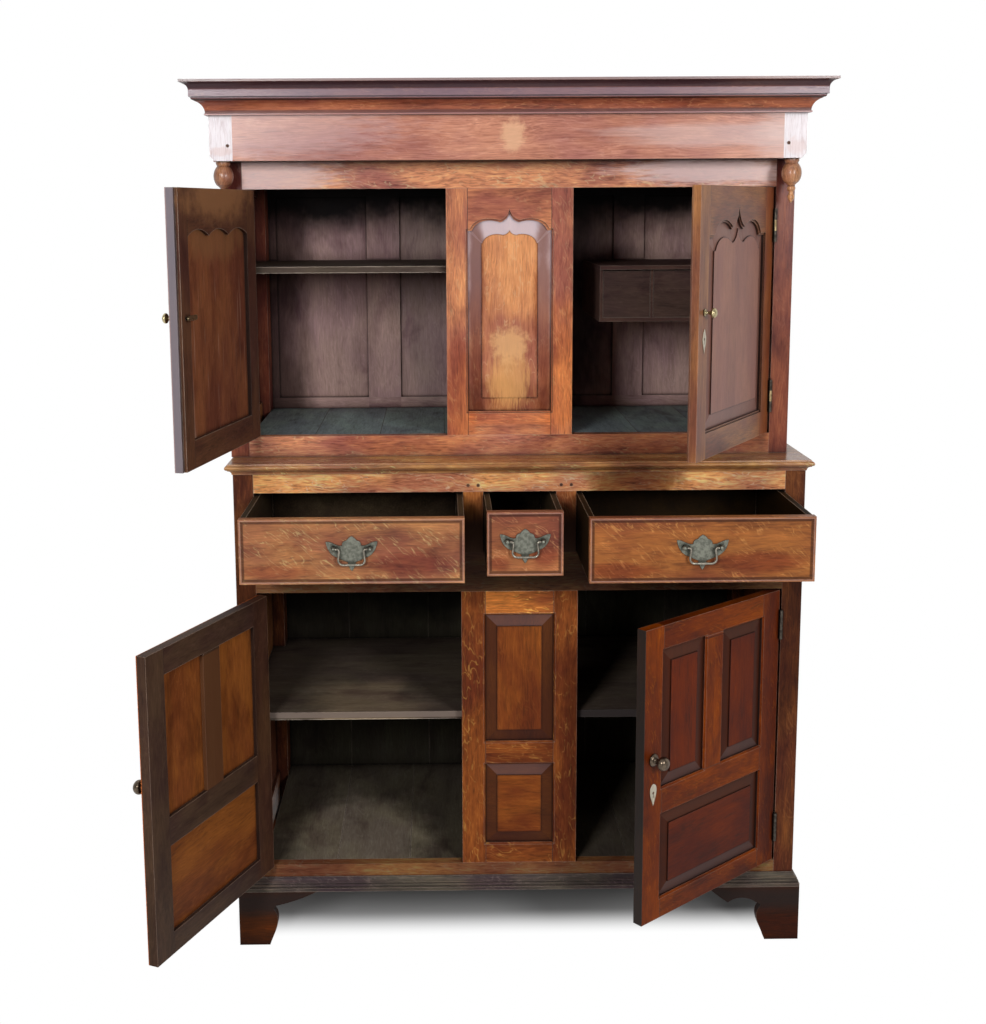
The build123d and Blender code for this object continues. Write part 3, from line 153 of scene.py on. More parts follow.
stain = ramp(old_oak, spread(old_oak, seeded, (13, 13, 6), 4.0, 0.6, 0.4), 0.5, 0.7)
stain = work_out(old_oak, "MULTIPLY", stain, given["Stain"])
scratch = ramp(old_oak, spread(old_oak, seeded, (190, 190, 5), 1.0), 0.68, 0.73)
scratch = work_out(old_oak, "MULTIPLY", scratch, given["Scratches"])
mottle = ramp(old_oak, spread(old_oak, seeded, (9, 9, 4.5), 3.0, 0.55), 0.36, 0.64)

# Grime with painted shade darkens the corners and the creases, by how closed in they
# are. The edges are worn paler; round fielded panels they are painted dark as shade lines.
corner_reach, crease_reach = 0.045, 0.007
grime_and_shade = ramp(old_oak, closeness(old_oak, corner_reach), 0.25, 0.95, 1.0, 0.0)
grime_and_shade = work_out(old_oak, "MULTIPLY", grime_and_shade, given["Grime"])
crease_shade = ramp(old_oak, closeness(old_oak, crease_reach), 0.5, 0.93, 1.0, 0.0)
crease_shade = work_out(old_oak, "MULTIPLY", crease_shade, given["Grime"])
# The edge tint: worn paler on most boards, painted shade lines round fielded panels.
rounded = put(old_oak, "Bevel", {"Radius": given["Edge"]}, samples=4).outputs[0]
true_normal = put(old_oak, "NewGeometry").outputs["True Normal"]
turn = put(old_oak, "VectorMath", {0: rounded, 1: true_normal}, operation="DOT_PRODUCT").outputs[1]
rubbed = ramp(old_oak, turn, 0.995, 0.86)
rubbed = work_out(old_oak, "MULTIPLY", rubbed, ramp(old_oak, streak, 0.2, 0.48))
rubbed = work_out(old_oak, "MULTIPLY", rubbed, work_out(old_oak, "SUBTRACT", 1.0, grime_and_shade, True))
rubbed = work_out(old_oak, "MULTIPLY", rubbed, given["Rubbed"], True)

colour = blend(old_oak, ramp(old_oak, tone, 0.0, 0.55), given["Dark"], given["Mid"])
colour = blend(old_oak, ramp(old_oak, tone, 0.45, 1.0), colour, given["Light"])
plum, honey = (0.62, 0.48, 0.6, 1), (1.26, 1.3, 1.0, 1)
colour = blend(old_oak, given["Mottle"], colour, blend(old_oak, mottle, plum, honey), "MULTIPLY")
colour = blend(old_oak, flecks, colour, given["Fleck"])
colour = blend(old_oak, work_out(old_oak, "MULTIPLY", pores, 0.4), colour, given["Dark"])
# Grime and painted shade share one dark tint.
grime_shade_tint = (0.14, 0.1, 0.1, 1)
for share, tint in ((stain, (0.42, 0.31, 0.4, 1)), (grime_and_shade, grime_shade_tint), (crease_shade, grime_shade_tint)):
    colour = blend(old_oak, share, colour, blend(old_oak, 1.0, colour, tint, "MULTIPLY"))
colour = blend(old_oak, scratch, colour, given["Rubbed Colour"])
colour = blend(old_oak, rubbed, colour, given["Rubbed Colour"])
colour = blend(old_oak, given["Seam"], colour, (0.02, 0.01, 0.008, 1))
old_oak.links.new(colour, result["Colour"])
rough = work_out(old_oak, "ADD", given["Gloss"], work_out(old_oak, "MULTIPLY", streak, 0.14))
rough = work_out(old_oak, "ADD", rough, work_out(old_oak, "MULTIPLY", grime_and_shade, 0.25), True)
old_oak.links.new(rough, result["Roughness"])
height = work_out(old_oak, "SUBTRACT", fine, work_out(old_oak, "MULTIPLY", pores, 0.8))
height = work_out(old_oak, "SUBTRACT", height, given["Seam"])
old_oak.links.new(height, result["Height"])

# How the boards lie: upright, lying across the front, or running front to back.
UPRIGHT, LYING, DEEP = "upright", "lying", "deep"


def place_on(tree):
    """Where a point of the piece is, in metres."""
    return put(tree, "TexCoord").outputs["Object"]


def grain(tree, place, how):
    """Turns a place into a board's own: across, depth, along the grain."""
    x, y, z = parts_of(tree, place)
    order = {UPRIGHT: (x, y, z), LYING: (z, y, x), DEEP: (x, z, y)}[how]
    return put(tree, "CombineXYZ", dict(enumerate(order))).outputs[0]


def beyond(tree, value, limit):
    """1 where the value is past the limit."""
    return work_out(tree, "GREATER_THAN", value, limit)


def stepped(tree, value, limit, step, start=0.0):
    """A number that grows by a step where the value is past the limit."""
    return work_out(tree, "ADD", work_out(tree, "MULTIPLY", beyond(tree, value, limit), step), start)


def tinted(tones, red, green, blue):
    """The tones scaled for another board of the same oak, and for boards toned darker as painted shade; none
    too pale for wood.
    """
    palest = 0.9
    return tuple(
        (min(r * red, palest), min(g * green, palest), min(b * blue, palest)) for r, g, b in tones
    )


def oak(name, tones, boards, flecks=0.5, slant=0.35, figure=0.4, stain=0.5, grime_and_shade=0.75,
        rubbed=0.5, edge_wear_and_light_colour=(0.6, 0.42, 0.32), scratches=0.0, gloss=0.4, edge=0.0022,
        mottle=0.9, shine=0.12, bump=0.25, door=None, layers=()):
    """An oak surface. boards makes the grain's place, the seed and the seams in its tree.

    layers go over the wood in their order, such as a wash or a spot. On the piece of
    an open door they are placed as if the door were shut.
    """
    made = bpy.data.materials.new(name)
    made.use_nodes = True
    tree = made.node_tree
    tree.nodes.clear()
    place = place_on(tree)
    board, seed, seam = boards(tree, place)
    if door:
        place = as_shut(tree, place, door)
    dark, mid, light, fleck = [(*tone, 1) for tone in tones]
    aged = put(tree, "Group", {
        "Board": board, "Seed": seed, "Seam": seam,
        "Dark": dark, "Mid": mid, "Light": light, "Fleck": fleck,
        "Fleck Amount": flecks, "Fleck Slant": slant, "Figure": figure, "Stain": stain,
        "Grime": grime_and_shade, "Rubbed": rubbed, "Rubbed Colour": (*edge_wear_and_light_colour, 1),
        "Scratches": scratches, "Gloss": gloss, "Edge": edge, "Mottle": mottle,
    }, node_tree=old_oak)
    colour = aged.outputs["Colour"]
    for lay in layers:
        colour = lay(tree, place, colour)
    pore_depth = 0.0004
    raised = put(tree, "Bump", {
        "Height": aged.outputs["Height"], "Strength": bump, "Distance": pore_depth,
    })
    shader = put(tree, "BsdfPrincipled", {
        "Base Color": colour, "Roughness": aged.outputs["Roughness"],
        "Normal": raised.outputs[0], "Specular IOR Level": shine,
    })
    put(tree, "OutputMaterial", {"Surface": shader.outputs[0]})
    return made


# A ragged oval for painted light and shade, stains and wear: a soft oval, ragged at its
# rim and broken up inside.
ragged_oval, given, result = new_group(
    "Worn spot",
    [("Place", "vector", (0, 0, 0)), ("Centre", "vector", (0, 0, 0)),
     ("Size", "vector", (0.1, 0.1, 0.1)), ("Rag", "vector", (70, 70, 70))],
    [("Share", "value")],
)
away = vector_sum(ragged_oval, "SUBTRACT", given["Place"], given["Centre"])
away = vector_sum(ragged_oval, "DIVIDE", away, given["Size"])
far = put(ragged_oval, "VectorMath", {0: away}, operation="LENGTH").outputs[1]
ragged = work_out(ragged_oval, "MULTIPLY", spread(ragged_oval, given["Place"], given["Rag"], 4.0, 0.6), 1.1)
far = work_out(ragged_oval, "ADD", far, work_out(ragged_oval, "SUBTRACT", ragged, 0.55))
ragged_oval.links.new(ramp(ragged_oval, far, 1.05, 0.45), result["Share"])


def wash(centre, size, tint, strength, rag=(70, 70, 70), how="MULTIPLY"):
    """A ragged oval of colour that the grain shows through: painted shade and painted light on many pieces,
    stains and other tones on the rest.
    """
    def lay(tree, place, colour):
        oval = put(tree, "Group", {"Place": place, "Centre": centre, "Size": size, "Rag": rag},
                   node_tree=ragged_oval)
        share = work_out(tree, "MULTIPLY", oval.outputs["Share"], strength)
        return blend(tree, share, colour, (*tint, 1), how)
    return lay


def finish_of(name, made):
    """Gives a CAD piece its surface."""
    slots = piece[name].data.materials
    slots.clear()
    slots.append(made)


def posts(tree, place):
    """Upright boards, another tree for each side."""
    seed = stepped(tree, parts_of(tree, place)[0], 0.0, 4.3, 1.1)
    return grain(tree, place, UPRIGHT), seed, 0.0


lower_front_tones = ((0.077, 0.029, 0.018), (0.26, 0.092, 0.04), (0.53, 0.2, 0.066), (0.79, 0.37, 0.13))
finish_of("lower_posts", oak(
    "waxed post oak", tinted(lower_front_tones, 0.62, 0.54, 0.5), posts,
    flecks=0.2, stain=0.7, rubbed=0.7,
    layers=[
        wash((0.6, 0.0, 0.8), (0.2, 0.2, 0.35), (0.35, 0.28, 0.25), 0.8, (12, 12, 6)),
        wash((-0.6, 0.0, 0.8), (0.2, 0.2, 0.12), (0.4, 0.3, 0.25), 0.7, (12, 12, 6)),
    ],
))


# ---- Long rails of the lower stage ------------------------------------------
# Three lying rails of quarter-sawn oak between the posts. The one under the counter
# is the palest and the lowest is darkened; the upper two carry painted shadows.
def rails(limits):
    """Lying boards, another one above each limit."""
    def boards(tree, place):
        seed = 0.7
        for limit in limits:
            seed = stepped(tree, parts_of(tree, place)[2], limit, 2.7, seed)
        return grain(tree, place, LYING), seed, 0.0
    return boards


# A box with soft sides, for a band of a moulding or one rail of a set.
box_zone, given, result = new_group(
    "Box zone",
    [("Place", "vector", (0, 0, 0)), ("Low", "vector", (0, 0, 0)), ("High", "vector", (0, 0, 0)),
     ("Soft", "value", 0.002)],
    [("Share", "value")],
)
above = vector_sum(box_zone, "SUBTRACT", given["Place"], given["Low"])
below = vector_sum(box_zone, "SUBTRACT", given["High"], given["Place"])
x, y, z = parts_of(box_zone, vector_sum(box_zone, "MINIMUM", above, below))
inside = work_out(box_zone, "MINIMUM", work_out(box_zone, "MINIMUM", x, y), z)
inside = work_out(box_zone, "DIVIDE", inside, given["Soft"])
box_zone.links.new(ramp(box_zone, inside, -1.0, 1.0), result["Share"])


def painted(low, high, tint, strength, soft=0.0015, how="MIX"):
    """One colour over the wood between two corners."""
    def lay(tree, place, colour):
        zone = put(tree, "Group", {"Place": place, "Low": low, "High": high, "Soft": soft},
                   node_tree=box_zone)
        share = work_out(tree, "MULTIPLY", zone.outputs["Share"], strength)
        return blend(tree, share, colour, (*tint, 1), how)
    return lay


def banded(bottom, top, tint, strength, soft=0.0015, how="MIX"):
    """One colour over the wood between two levels."""
    return painted((-1, -1, bottom), (1, 1, top), tint, strength, soft, how)


gold_rail_tones = ((0.15, 0.05, 0.02), (0.55, 0.22, 0.075), (0.85, 0.45, 0.16), (1.0, 0.75, 0.33))
finish_of("lower_rails", oak(
    "waxed rail oak", tinted(gold_rail_tones, 1.5, 1.6, 2.0), rails((0.5, 1.0)),
    flecks=0.3, slant=0.2, figure=1.0, stain=0.6,
    layers=[
        # Painted shadow of the upper right door on the rail under the counter.
        wash((0.25, 0.0, 1.08), (0.13, 0.1, 0.1), (0.2, 0.13, 0.09), 0.9, (20, 20, 20)),
        banded(0, 0.3, (0.09, 0.028, 0.011), 0.75, 0.01),
        # Painted shadow of the drawers on the middle rail, less dark on the left.
        painted((-0.3, -1, 0.8), (1, 1, 0.95), (0.025, 0.009, 0.005), 0.9, 0.04),
        painted((-1, -1, 0.8), (-0.3, 1, 0.95), (0.1, 0.04, 0.018), 0.7, 0.04),
    ],
))
finish_of("drawer_muntins", oak(
    "muntin oak", tinted(gold_rail_tones, 0.75, 0.6, 0.5), posts,
    flecks=0.2, stain=0.5,
    layers=[
        # Painted shadow of the drawers on the muntins, all but their tops.
        banded(0.8, 1.005, (0.035, 0.013, 0.007), 0.95, 0.03),
    ],
))


# ---- Fixed bay between the lower doors --------------------------------------
# Two stiles and three rails, pegged, round two fielded panels. The top rail is the
# most figured board of the lower stage; the panels are plainer and redder.
def either(tree, share, a, b):
    """One of two vectors, by a share of 0 or 1."""
    return put(tree, "Mix", {0: share, 4: a, 5: b}, data_type="VECTOR").outputs[1]


def seam_at(tree, value, target):
    """1 in the joint between two boards."""
    joint = 0.0007
    off = work_out(tree, "ABSOLUTE", work_out(tree, "SUBTRACT", value, target))
    return work_out(tree, "LESS_THAN", off, joint)


def frame_seeds(tree, upright, x, z, middle, limits):
    """Another tree for each stile, and for each rail above one of the limits."""
    rail = 0.0
    for number, limit in enumerate(limits):
        rail = stepped(tree, z, limit, 1.9 + 3.2 * number, rail)
    return put(tree, "Mix", {0: upright, 2: rail, 3: stepped(tree, x, middle, 2.3, 0.6)}).outputs[0]


def framed(middle, half, limits):
    """Upright beyond half the opening's width, lying between; a seam where they meet."""
    def boards(tree, place):
        x, y, z = parts_of(tree, place)
        off = work_out(tree, "ABSOLUTE", work_out(tree, "SUBTRACT", x, middle))
        upright = beyond(tree, off, half)
        board = either(tree, upright, grain(tree, place, LYING), grain(tree, place, UPRIGHT))
        seed = frame_seeds(tree, upright, x, z, middle, limits)
        return board, seed, work_out(tree, "MULTIPLY", seam_at(tree, off, half), 0.8)
    return boards


lower_bay_opening = 0.076
bay_tones = ((0.11, 0.04, 0.02), (0.33, 0.11, 0.042), (0.59, 0.22, 0.075), (1.18, 0.79, 0.26))
finish_of("lower_bay_frame", oak(
    "lower bay oak", tinted(bay_tones, 0.76, 0.58, 0.41), framed(0.0, lower_bay_opening, (0.45, 0.7)),
    flecks=0.35, slant=0.15, figure=0.7, stain=0.6,
    layers=[
        # Painted shadow of the drawers across the top of the bay.
        wash((0.0, 0, 0.86), (0.3, 0.1, 0.035), (0.3, 0.2, 0.15), 0.9),
        painted((-lower_bay_opening, -1, 0.775), (lower_bay_opening, 1, 0.83),
                (2.6, 3.2, 3.0), 1.0, 0.004, "MULTIPLY"),
    ],
))


def panel_boards(limit):
    """Panels: upright above the limit, lying under it."""
    def boards(tree, place):
        upper = beyond(tree, parts_of(tree, place)[2], limit)
        board = either(tree, upper, grain(tree, place, LYING), grain(tree, place, UPRIGHT))
        return board, work_out(tree, "MULTIPLY", upper, 3.3), 0.0
    return boards


# The sloping margins of a fielded panel, known by how they face.
fielded, given, result = new_group(
    "Fielded",
    [("Angle", "value", 0.0)],
    [("Slope", "value"), ("Up", "value"), ("Down", "value")],
)
facing = put(fielded, "VectorTransform", {
    "Vector": put(fielded, "NewGeometry").outputs["True Normal"],
}, vector_type="NORMAL", convert_from="WORLD", convert_to="OBJECT").outputs[0]
facing = put(fielded, "VectorRotate", {
    "Vector": facing, "Center": (0, 0, 0), "Axis": (0, 0, 1), "Angle": given["Angle"],
}, rotation_type="AXIS_ANGLE").outputs[0]
x, y, z = parts_of(fielded, facing)
tilt = work_out(fielded, "ABSOLUTE", y)
slope = work_out(fielded, "MULTIPLY", ramp(fielded, tilt, 0.9985, 0.995), ramp(fielded, tilt, 0.6, 0.8))
fielded.links.new(slope, result["Slope"])
fielded.links.new(ramp(fielded, z, 0.04, 0.1), result["Up"])
fielded.links.new(ramp(fielded, z, -0.04, -0.1), result["Down"])


def margin_light_and_shade(upright, light_facing_up, light_facing_down, strength, levels=None, door=None):
    """Paints light and shade on a fielded panel's sloping sides by how each faces, from the
    lower to the upper level if given.
    """
    def lay(tree, place, colour):
        angle = math.radians(door.degrees) if door else 0.0
        field = put(tree, "Group", {"Angle": angle}, node_tree=fielded)
        share = work_out(tree, "MULTIPLY", field.outputs["Slope"], strength)
        if levels:
            share = work_out(tree, "MULTIPLY", share, ramp(tree, parts_of(tree, place)[2], *levels))
        tint = blend(tree, field.outputs["Up"], (*upright, 1), (*light_facing_up, 1))
        tint = blend(tree, field.outputs["Down"], tint, (*light_facing_down, 1))
        return blend(tree, share, colour, tint)
    return lay


red_panel_tones = ((0.13, 0.04, 0.02), (0.35, 0.092, 0.035), (0.51, 0.15, 0.053), (0.7, 0.26, 0.088))
finish_of("lower_bay_panels", oak(
    "red panel oak", tinted(red_panel_tones, 0.81, 0.8, 0.45), panel_boards(0.45),
    # The near-black edge tint is painted shade in the steps round the fields.
    flecks=0.1, stain=0.3, grime_and_shade=0.95, rubbed=1.0, edge_wear_and_light_colour=(0.02, 0.007, 0.005), edge=0.006,
    shine=0.12,
    layers=[
        # Painted light and shade on the sloping margins by how they face.
        margin_light_and_shade((0.05, 0.017, 0.008), (0.13, 0.075, 0.07), (0.03, 0.012, 0.009), 0.75),
    ],
))


# ---- Sides, back, floor, shelves and runners of the lower stage --------------
# Framed sides; rough upright back boards; a floor of seven boards and shelves of
# unpolished oak, dry and grey-brown with dust and use.
def within(tree, value, low, high):
    """1 where the value is between two limits."""
    return work_out(tree, "MULTIPLY", beyond(tree, value, low), work_out(tree, "LESS_THAN", value, high))


side_tones = ((0.088, 0.033, 0.02), (0.26, 0.099, 0.048), (0.44, 0.18, 0.075), (0.66, 0.31, 0.13))


def sides(limits):
    """Lying rails run front to back, the panels stand upright."""
    def boards(tree, place):
        x, y, z = parts_of(tree, place)
        lying = 0.0
        for low, high in limits:
            lying = work_out(tree, "ADD", within(tree, z, low, high), lying)
        rail = put(tree, "CombineXYZ", {0: z, 1: x, 2: y}).outputs[0]
        panel = put(tree, "CombineXYZ", {0: y, 1: x, 2: z}).outputs[0]
        seed = stepped(tree, x, 0.0, 1.3, work_out(tree, "MULTIPLY", lying, 2.9))
        return either(tree, lying, panel, rail), seed, 0.0
    return boards


finish_of("lower_side_frames", oak(
    "side oak", side_tones, sides(((0.0, 0.198), (0.845, 0.915), (1.024, 1.2))), flecks=0.35,
))


def planks(width, start, how):
    """Boards side by side along X, each from another plank."""
    def boards(tree, place):
        from_start = work_out(tree, "SUBTRACT", parts_of(tree, place)[0], start)
        plank = work_out(tree, "FLOOR", work_out(tree, "DIVIDE", from_start, width))
        return grain(tree, place, how), work_out(tree, "MULTIPLY", plank, 1.37), 0.0
    return boards


dry_tones = ((0.085, 0.064, 0.05), (0.13, 0.1, 0.079), (0.18, 0.15, 0.12), (0.26, 0.21, 0.17))
dry = dict(flecks=0.2, stain=0.6, grime_and_shade=0.8, rubbed=0.35, edge_wear_and_light_colour=(0.53, 0.44, 0.37),
           gloss=0.62, bump=0.5, mottle=0.3)
# The back boards are toned dark and washed darker across the middle: painted shade inside the case. Their
# outer face at the back is toned lighter again.
finish_of("lower_back_boards", oak(
    "back board oak", tinted(dry_tones, 0.34, 0.38, 0.33), planks(0.2087, -0.626, UPRIGHT),
    layers=[
        wash((-0.3, 0.5, 0.85), (1.0, 0.3, 0.3), (0.12, 0.12, 0.12), 1.0, (5, 5, 5)),
        wash((0.3, 0.5, 0.85), (1.0, 0.3, 0.3), (0.12, 0.12, 0.12), 1.0, (5, 5, 5)),
        painted((-1, 0.568, 0), (1, 1, 2), (2.6, 1.95, 1.7), 1.0, 0.002, "MULTIPLY"),
    ],
    **dry,
))
finish_of("lower_floor_boards", oak(
    "floor board oak", tinted(dry_tones, 0.75, 0.8, 0.74), planks(0.1663, -0.582, DEEP),
    layers=[
        # A painted pool of light on the floor inside the left door.
        wash((-0.37, 0.14, 0.19), (0.2, 0.26, 0.5), (2.3, 2.3, 2.3), 1.0, (9, 9, 9)),
    ],
    **dry,
))
finish_of("shelves", oak(
    "shelf oak", tinted(dry_tones, 0.83, 0.81, 0.78), rails((1.0,)),
    layers=[
        # A painted pool of light on the left shelf. The shelf's front edge is painted lighter, as lit, on the
        # left and dark with painted shade on the right.
        wash((-0.35, 0.08, 0.5), (0.15, 0.2, 0.2), (2.2, 2.1, 1.9), 1.0, (9, 9, 9)),
        painted((-1, -1, 0.528), (0, 0.0275, 0.6), (0.26, 0.2, 0.165), 0.85, 0.001),
        painted((0, -1, 0.5), (1, 0.0275, 0.6), (0.05, 0.04, 0.04), 0.9, 0.001),
    ],
    # The pale edge tint on the shelves is wear with painted highlight.
    **dict(dry, rubbed=0.9, edge_wear_and_light_colour=(0.9, 0.75, 0.62)),
))
finish_of("drawer_runners", oak(
    "runner oak", dry_tones, planks(0.3, -0.6, DEEP), **dry,
))


# ---- Counter, base moulding and bracket feet ---------------------------------
# The counter is one wide board with a worked thumb and bead; the base moulding and
# the shaped feet are nearly black.
counter_tones = ((0.13, 0.055, 0.031), (0.37, 0.15, 0.075), (0.66, 0.29, 0.14), (0.99, 0.53, 0.24))
finish_of("counter_top", oak(
    "counter oak", tinted(counter_tones, 1.6, 1.88, 1.59), rails(()),
    flecks=0.4, stain=0.6, rubbed=0.5, edge_wear_and_light_colour=(0.7, 0.42, 0.28), gloss=0.2, shine=0.3,
    layers=[
        wash((0.2, 0.0, 1.12), (0.5, 0.06, 0.1), (0.6, 0.5, 0.42), 0.7, (8, 20, 8)),
    ],
))
dark_tones = ((0.035, 0.024, 0.02), (0.092, 0.057, 0.044), (0.18, 0.099, 0.07), (0.26, 0.15, 0.11))
finish_of("base_moulding", oak(
    "base oak", tinted(dark_tones, 1.16, 1.5, 1.79), rails(()),
    flecks=0.3, rubbed=0.9, edge_wear_and_light_colour=(0.4, 0.31, 0.26),
))
finish_of("bracket_feet", oak(
    "foot oak", tinted(dark_tones, 0.52, 0.22, 0.068), rails(()),
    flecks=0.1, rubbed=0.5, edge_wear_and_light_colour=(0.25, 0.15, 0.11),
    layers=[
        # The feet are darker just under the base moulding and paler near the floor.
        banded(0.075, 0.13, (0.025, 0.016, 0.014), 0.85, 0.02),
        banded(0.0, 0.06, (1.6, 1.4, 1.1), 1.0, 0.02, "MULTIPLY"),
    ],
))


# ---- Upper stage ---------------------------------------------------------------
# Posts and long rails like those below, paler and pinker towards the top, with
# painted sheen. The top rail and the sill are strongly figured.
def spot(centre, size, tint, strength, rag=(70, 70, 70)):
    """A ragged oval of another colour: painted sheen and reflections on some pieces, wear
    and marks of the wood on others.
    """
    return wash(centre, size, tint, strength, rag, "MIX")


upper_tones = ((0.16, 0.055, 0.036), (0.46, 0.18, 0.1), (0.7, 0.33, 0.16), (0.85, 0.55, 0.28))
finish_of("upper_posts", oak(
    "upper post oak", tinted(upper_tones, 0.51, 0.34, 0.39), posts,
    flecks=0.2, stain=0.65, gloss=0.25, shine=0.2,
))
finish_of("upper_rails", oak(
    "upper rail oak", tinted(upper_tones, 1.45, 1.46, 1.62), rails((1.4,)),
    flecks=0.35, slant=0.2, figure=0.9, stain=0.5, gloss=0.2, shine=0.25,
    layers=[
        # Painted shadow of the canopy along the top of the top rail and of the upper right door on the sill;
        # the sill is also darker on the left.
        wash((0.0, 0.08, 1.775), (1.5, 0.1, 0.012), (0.45, 0.35, 0.35), 0.8, (12, 12, 40)),
        wash((0.32, 0.08, 1.15), (0.4, 0.1, 0.06), (0.55, 0.42, 0.32), 0.9, (9, 9, 30)),
        wash((-0.25, 0.08, 1.15), (0.2, 0.1, 0.04), (0.85, 0.72, 0.55), 0.8, (9, 9, 30)),
        # Painted sheen at both ends of the top rail.
        spot((-0.56, 0.08, 1.735), (0.2, 0.1, 0.06), (0.76, 0.55, 0.53), 0.7, (20, 20, 160)),
        spot((0.42, 0.08, 1.742), (0.24, 0.1, 0.036), (0.8, 0.6, 0.58), 0.75, (20, 20, 160)),
    ],
))
finish_of("upper_side_frames", oak(
    "upper side oak", side_tones, sides(((1.1, 1.188), (1.696, 1.8))), flecks=0.35,
))
upper_middle, upper_bay_opening = -0.018, 0.092
finish_of("upper_bay_frame", oak(
    "upper bay oak", tinted(upper_tones, 1.24, 1.15, 1.18),
    framed(upper_middle, upper_bay_opening, (1.5,)),
    flecks=0.2, figure=0.6, stain=0.6, gloss=0.25, shine=0.2,
    layers=[
        # The stiles are tinted more orange below; above, their paler, pinker tone stands in for sheen.
        wash((0.1, 0.08, 1.3), (0.06, 0.1, 0.22), (1.1, 0.85, 0.5), 0.8, (20, 20, 9)),
        wash((-0.13, 0.08, 1.25), (0.06, 0.1, 0.16), (0.9, 0.68, 0.45), 0.8, (20, 20, 9)),
        painted((upper_middle - upper_bay_opening, -1, 1.188),
                (upper_middle + upper_bay_opening, 1, 1.25), (1.25, 1.15, 0.9), 1.0, 0.004, "MULTIPLY"),
    ],
))


def one_board(seed, how):
    """One board from one tree."""
    def boards(tree, place):
        return grain(tree, place, how), seed, 0.0
    return boards


gold_panel_tones = ((0.34, 0.12, 0.055), (0.62, 0.27, 0.12), (0.78, 0.4, 0.19), (0.92, 0.6, 0.3))
finish_of("upper_bay_panel", oak(
    "gold panel oak", tinted(gold_panel_tones, 1.12, 1.05, 1.2), one_board(3.4, UPRIGHT),
    # The near-black edge tint is painted shade in the steps round the field.
    flecks=0.3, slant=0.06, figure=0.3, stain=0.2, gloss=0.25, shine=0.15, rubbed=1.0,
    edge_wear_and_light_colour=(0.04, 0.014, 0.01), edge=0.005,
    layers=[
        # Painted sheen on the sloping margins, paler where they face up, and painted shade where they face
        # down.
        margin_light_and_shade((0.55, 0.4, 0.42), (0.7, 0.6, 0.66), (0.16, 0.07, 0.045), 0.85, levels=(1.3, 1.56)),
        wash((upper_middle, 0.09, 1.24), (0.2, 0.1, 0.07), (0.5, 0.38, 0.3), 0.7, (20, 20, 12)),
        # Painted shade with grime down both sides of the field.
        wash((upper_middle - 0.074, 0.09, 1.4), (0.022, 0.1, 0.4), (0.4, 0.26, 0.22), 0.9, (20, 20, 12)),
        wash((upper_middle + 0.074, 0.09, 1.4), (0.022, 0.1, 0.4), (0.5, 0.34, 0.28), 0.9, (20, 20, 12)),
        spot((upper_middle, 0.09, 1.29), (0.056, 0.05, 0.08), (0.92, 0.48, 0.17), 0.6, (300, 300, 30)),
        spot((upper_middle, 0.09, 1.365), (0.05, 0.05, 0.05), (0.95, 0.54, 0.24), 0.65, (60, 60, 60)),
    ],
))


def back_frame(tree, place):
    """Lying rails at the foot and head, everything between them upright."""
    x, y, z = parts_of(tree, place)
    between = within(tree, z, 1.191, 1.696)
    seed = 0.0
    for board_edge, step in ((-0.354, 3.7), (-0.272, 2.1), (0.266, 1.9)):
        seed = stepped(tree, x, board_edge, step, seed)
    return either(tree, between, grain(tree, place, LYING), grain(tree, place, UPRIGHT)), seed, 0.0


back_tones = ((0.15, 0.098, 0.088), (0.22, 0.15, 0.14), (0.29, 0.2, 0.19), (0.36, 0.26, 0.24))
finish_of("upper_back", oak(
    "upper back oak", tinted(back_tones, 2.4, 2.3, 2.35), back_frame,
    layers=[
        # Painted shade: near black under the head of the case, dark at the left end and beside the bay.
        wash((-0.3, 0.5, 1.74), (0.9, 0.3, 0.15), (0.03, 0.03, 0.035), 1.0, (6, 6, 6)),
        wash((0.3, 0.5, 1.74), (0.9, 0.3, 0.15), (0.03, 0.03, 0.035), 1.0, (6, 6, 6)),
        wash((-0.61, 0.5, 1.4), (0.13, 0.3, 0.8), (0.15, 0.12, 0.12), 0.9, (9, 9, 4)),
        wash((-0.2, 0.5, 1.45), (0.11, 0.3, 0.6), (0.6, 0.65, 0.65), 0.8, (9, 9, 4)),
        wash((0.12, 0.5, 1.5), (0.15, 0.3, 0.6), (0.1, 0.09, 0.09), 0.95, (9, 9, 4)),
    ],
    **dict(dry, gloss=0.5),
))
upper_floor_tones = ((0.077, 0.066, 0.059), (0.15, 0.14, 0.12), (0.22, 0.2, 0.18), (0.31, 0.29, 0.26))
finish_of("upper_floor_boards", oak(
    "upper floor oak", tinted(upper_floor_tones, 1.59, 2.16, 2.54), planks(0.14525, -0.599, DEEP),
    **dry,
))
nest_tones = ((0.066, 0.04, 0.033), (0.13, 0.077, 0.066), (0.2, 0.12, 0.099), (0.29, 0.18, 0.14))
finish_of("nest_case", oak(
    "nest oak", tinted(nest_tones, 0.69, 0.59, 0.58), rails(()), **dry,
))
for hand in ("left", "right"):
    finish_of(f"nest_drawer_{hand}", oak(
        f"nest drawer oak {hand}", tinted(nest_tones, 0.62, 0.6, 0.6), rails((1.0,)),
        **dict(dry, gloss=0.45),
    ))


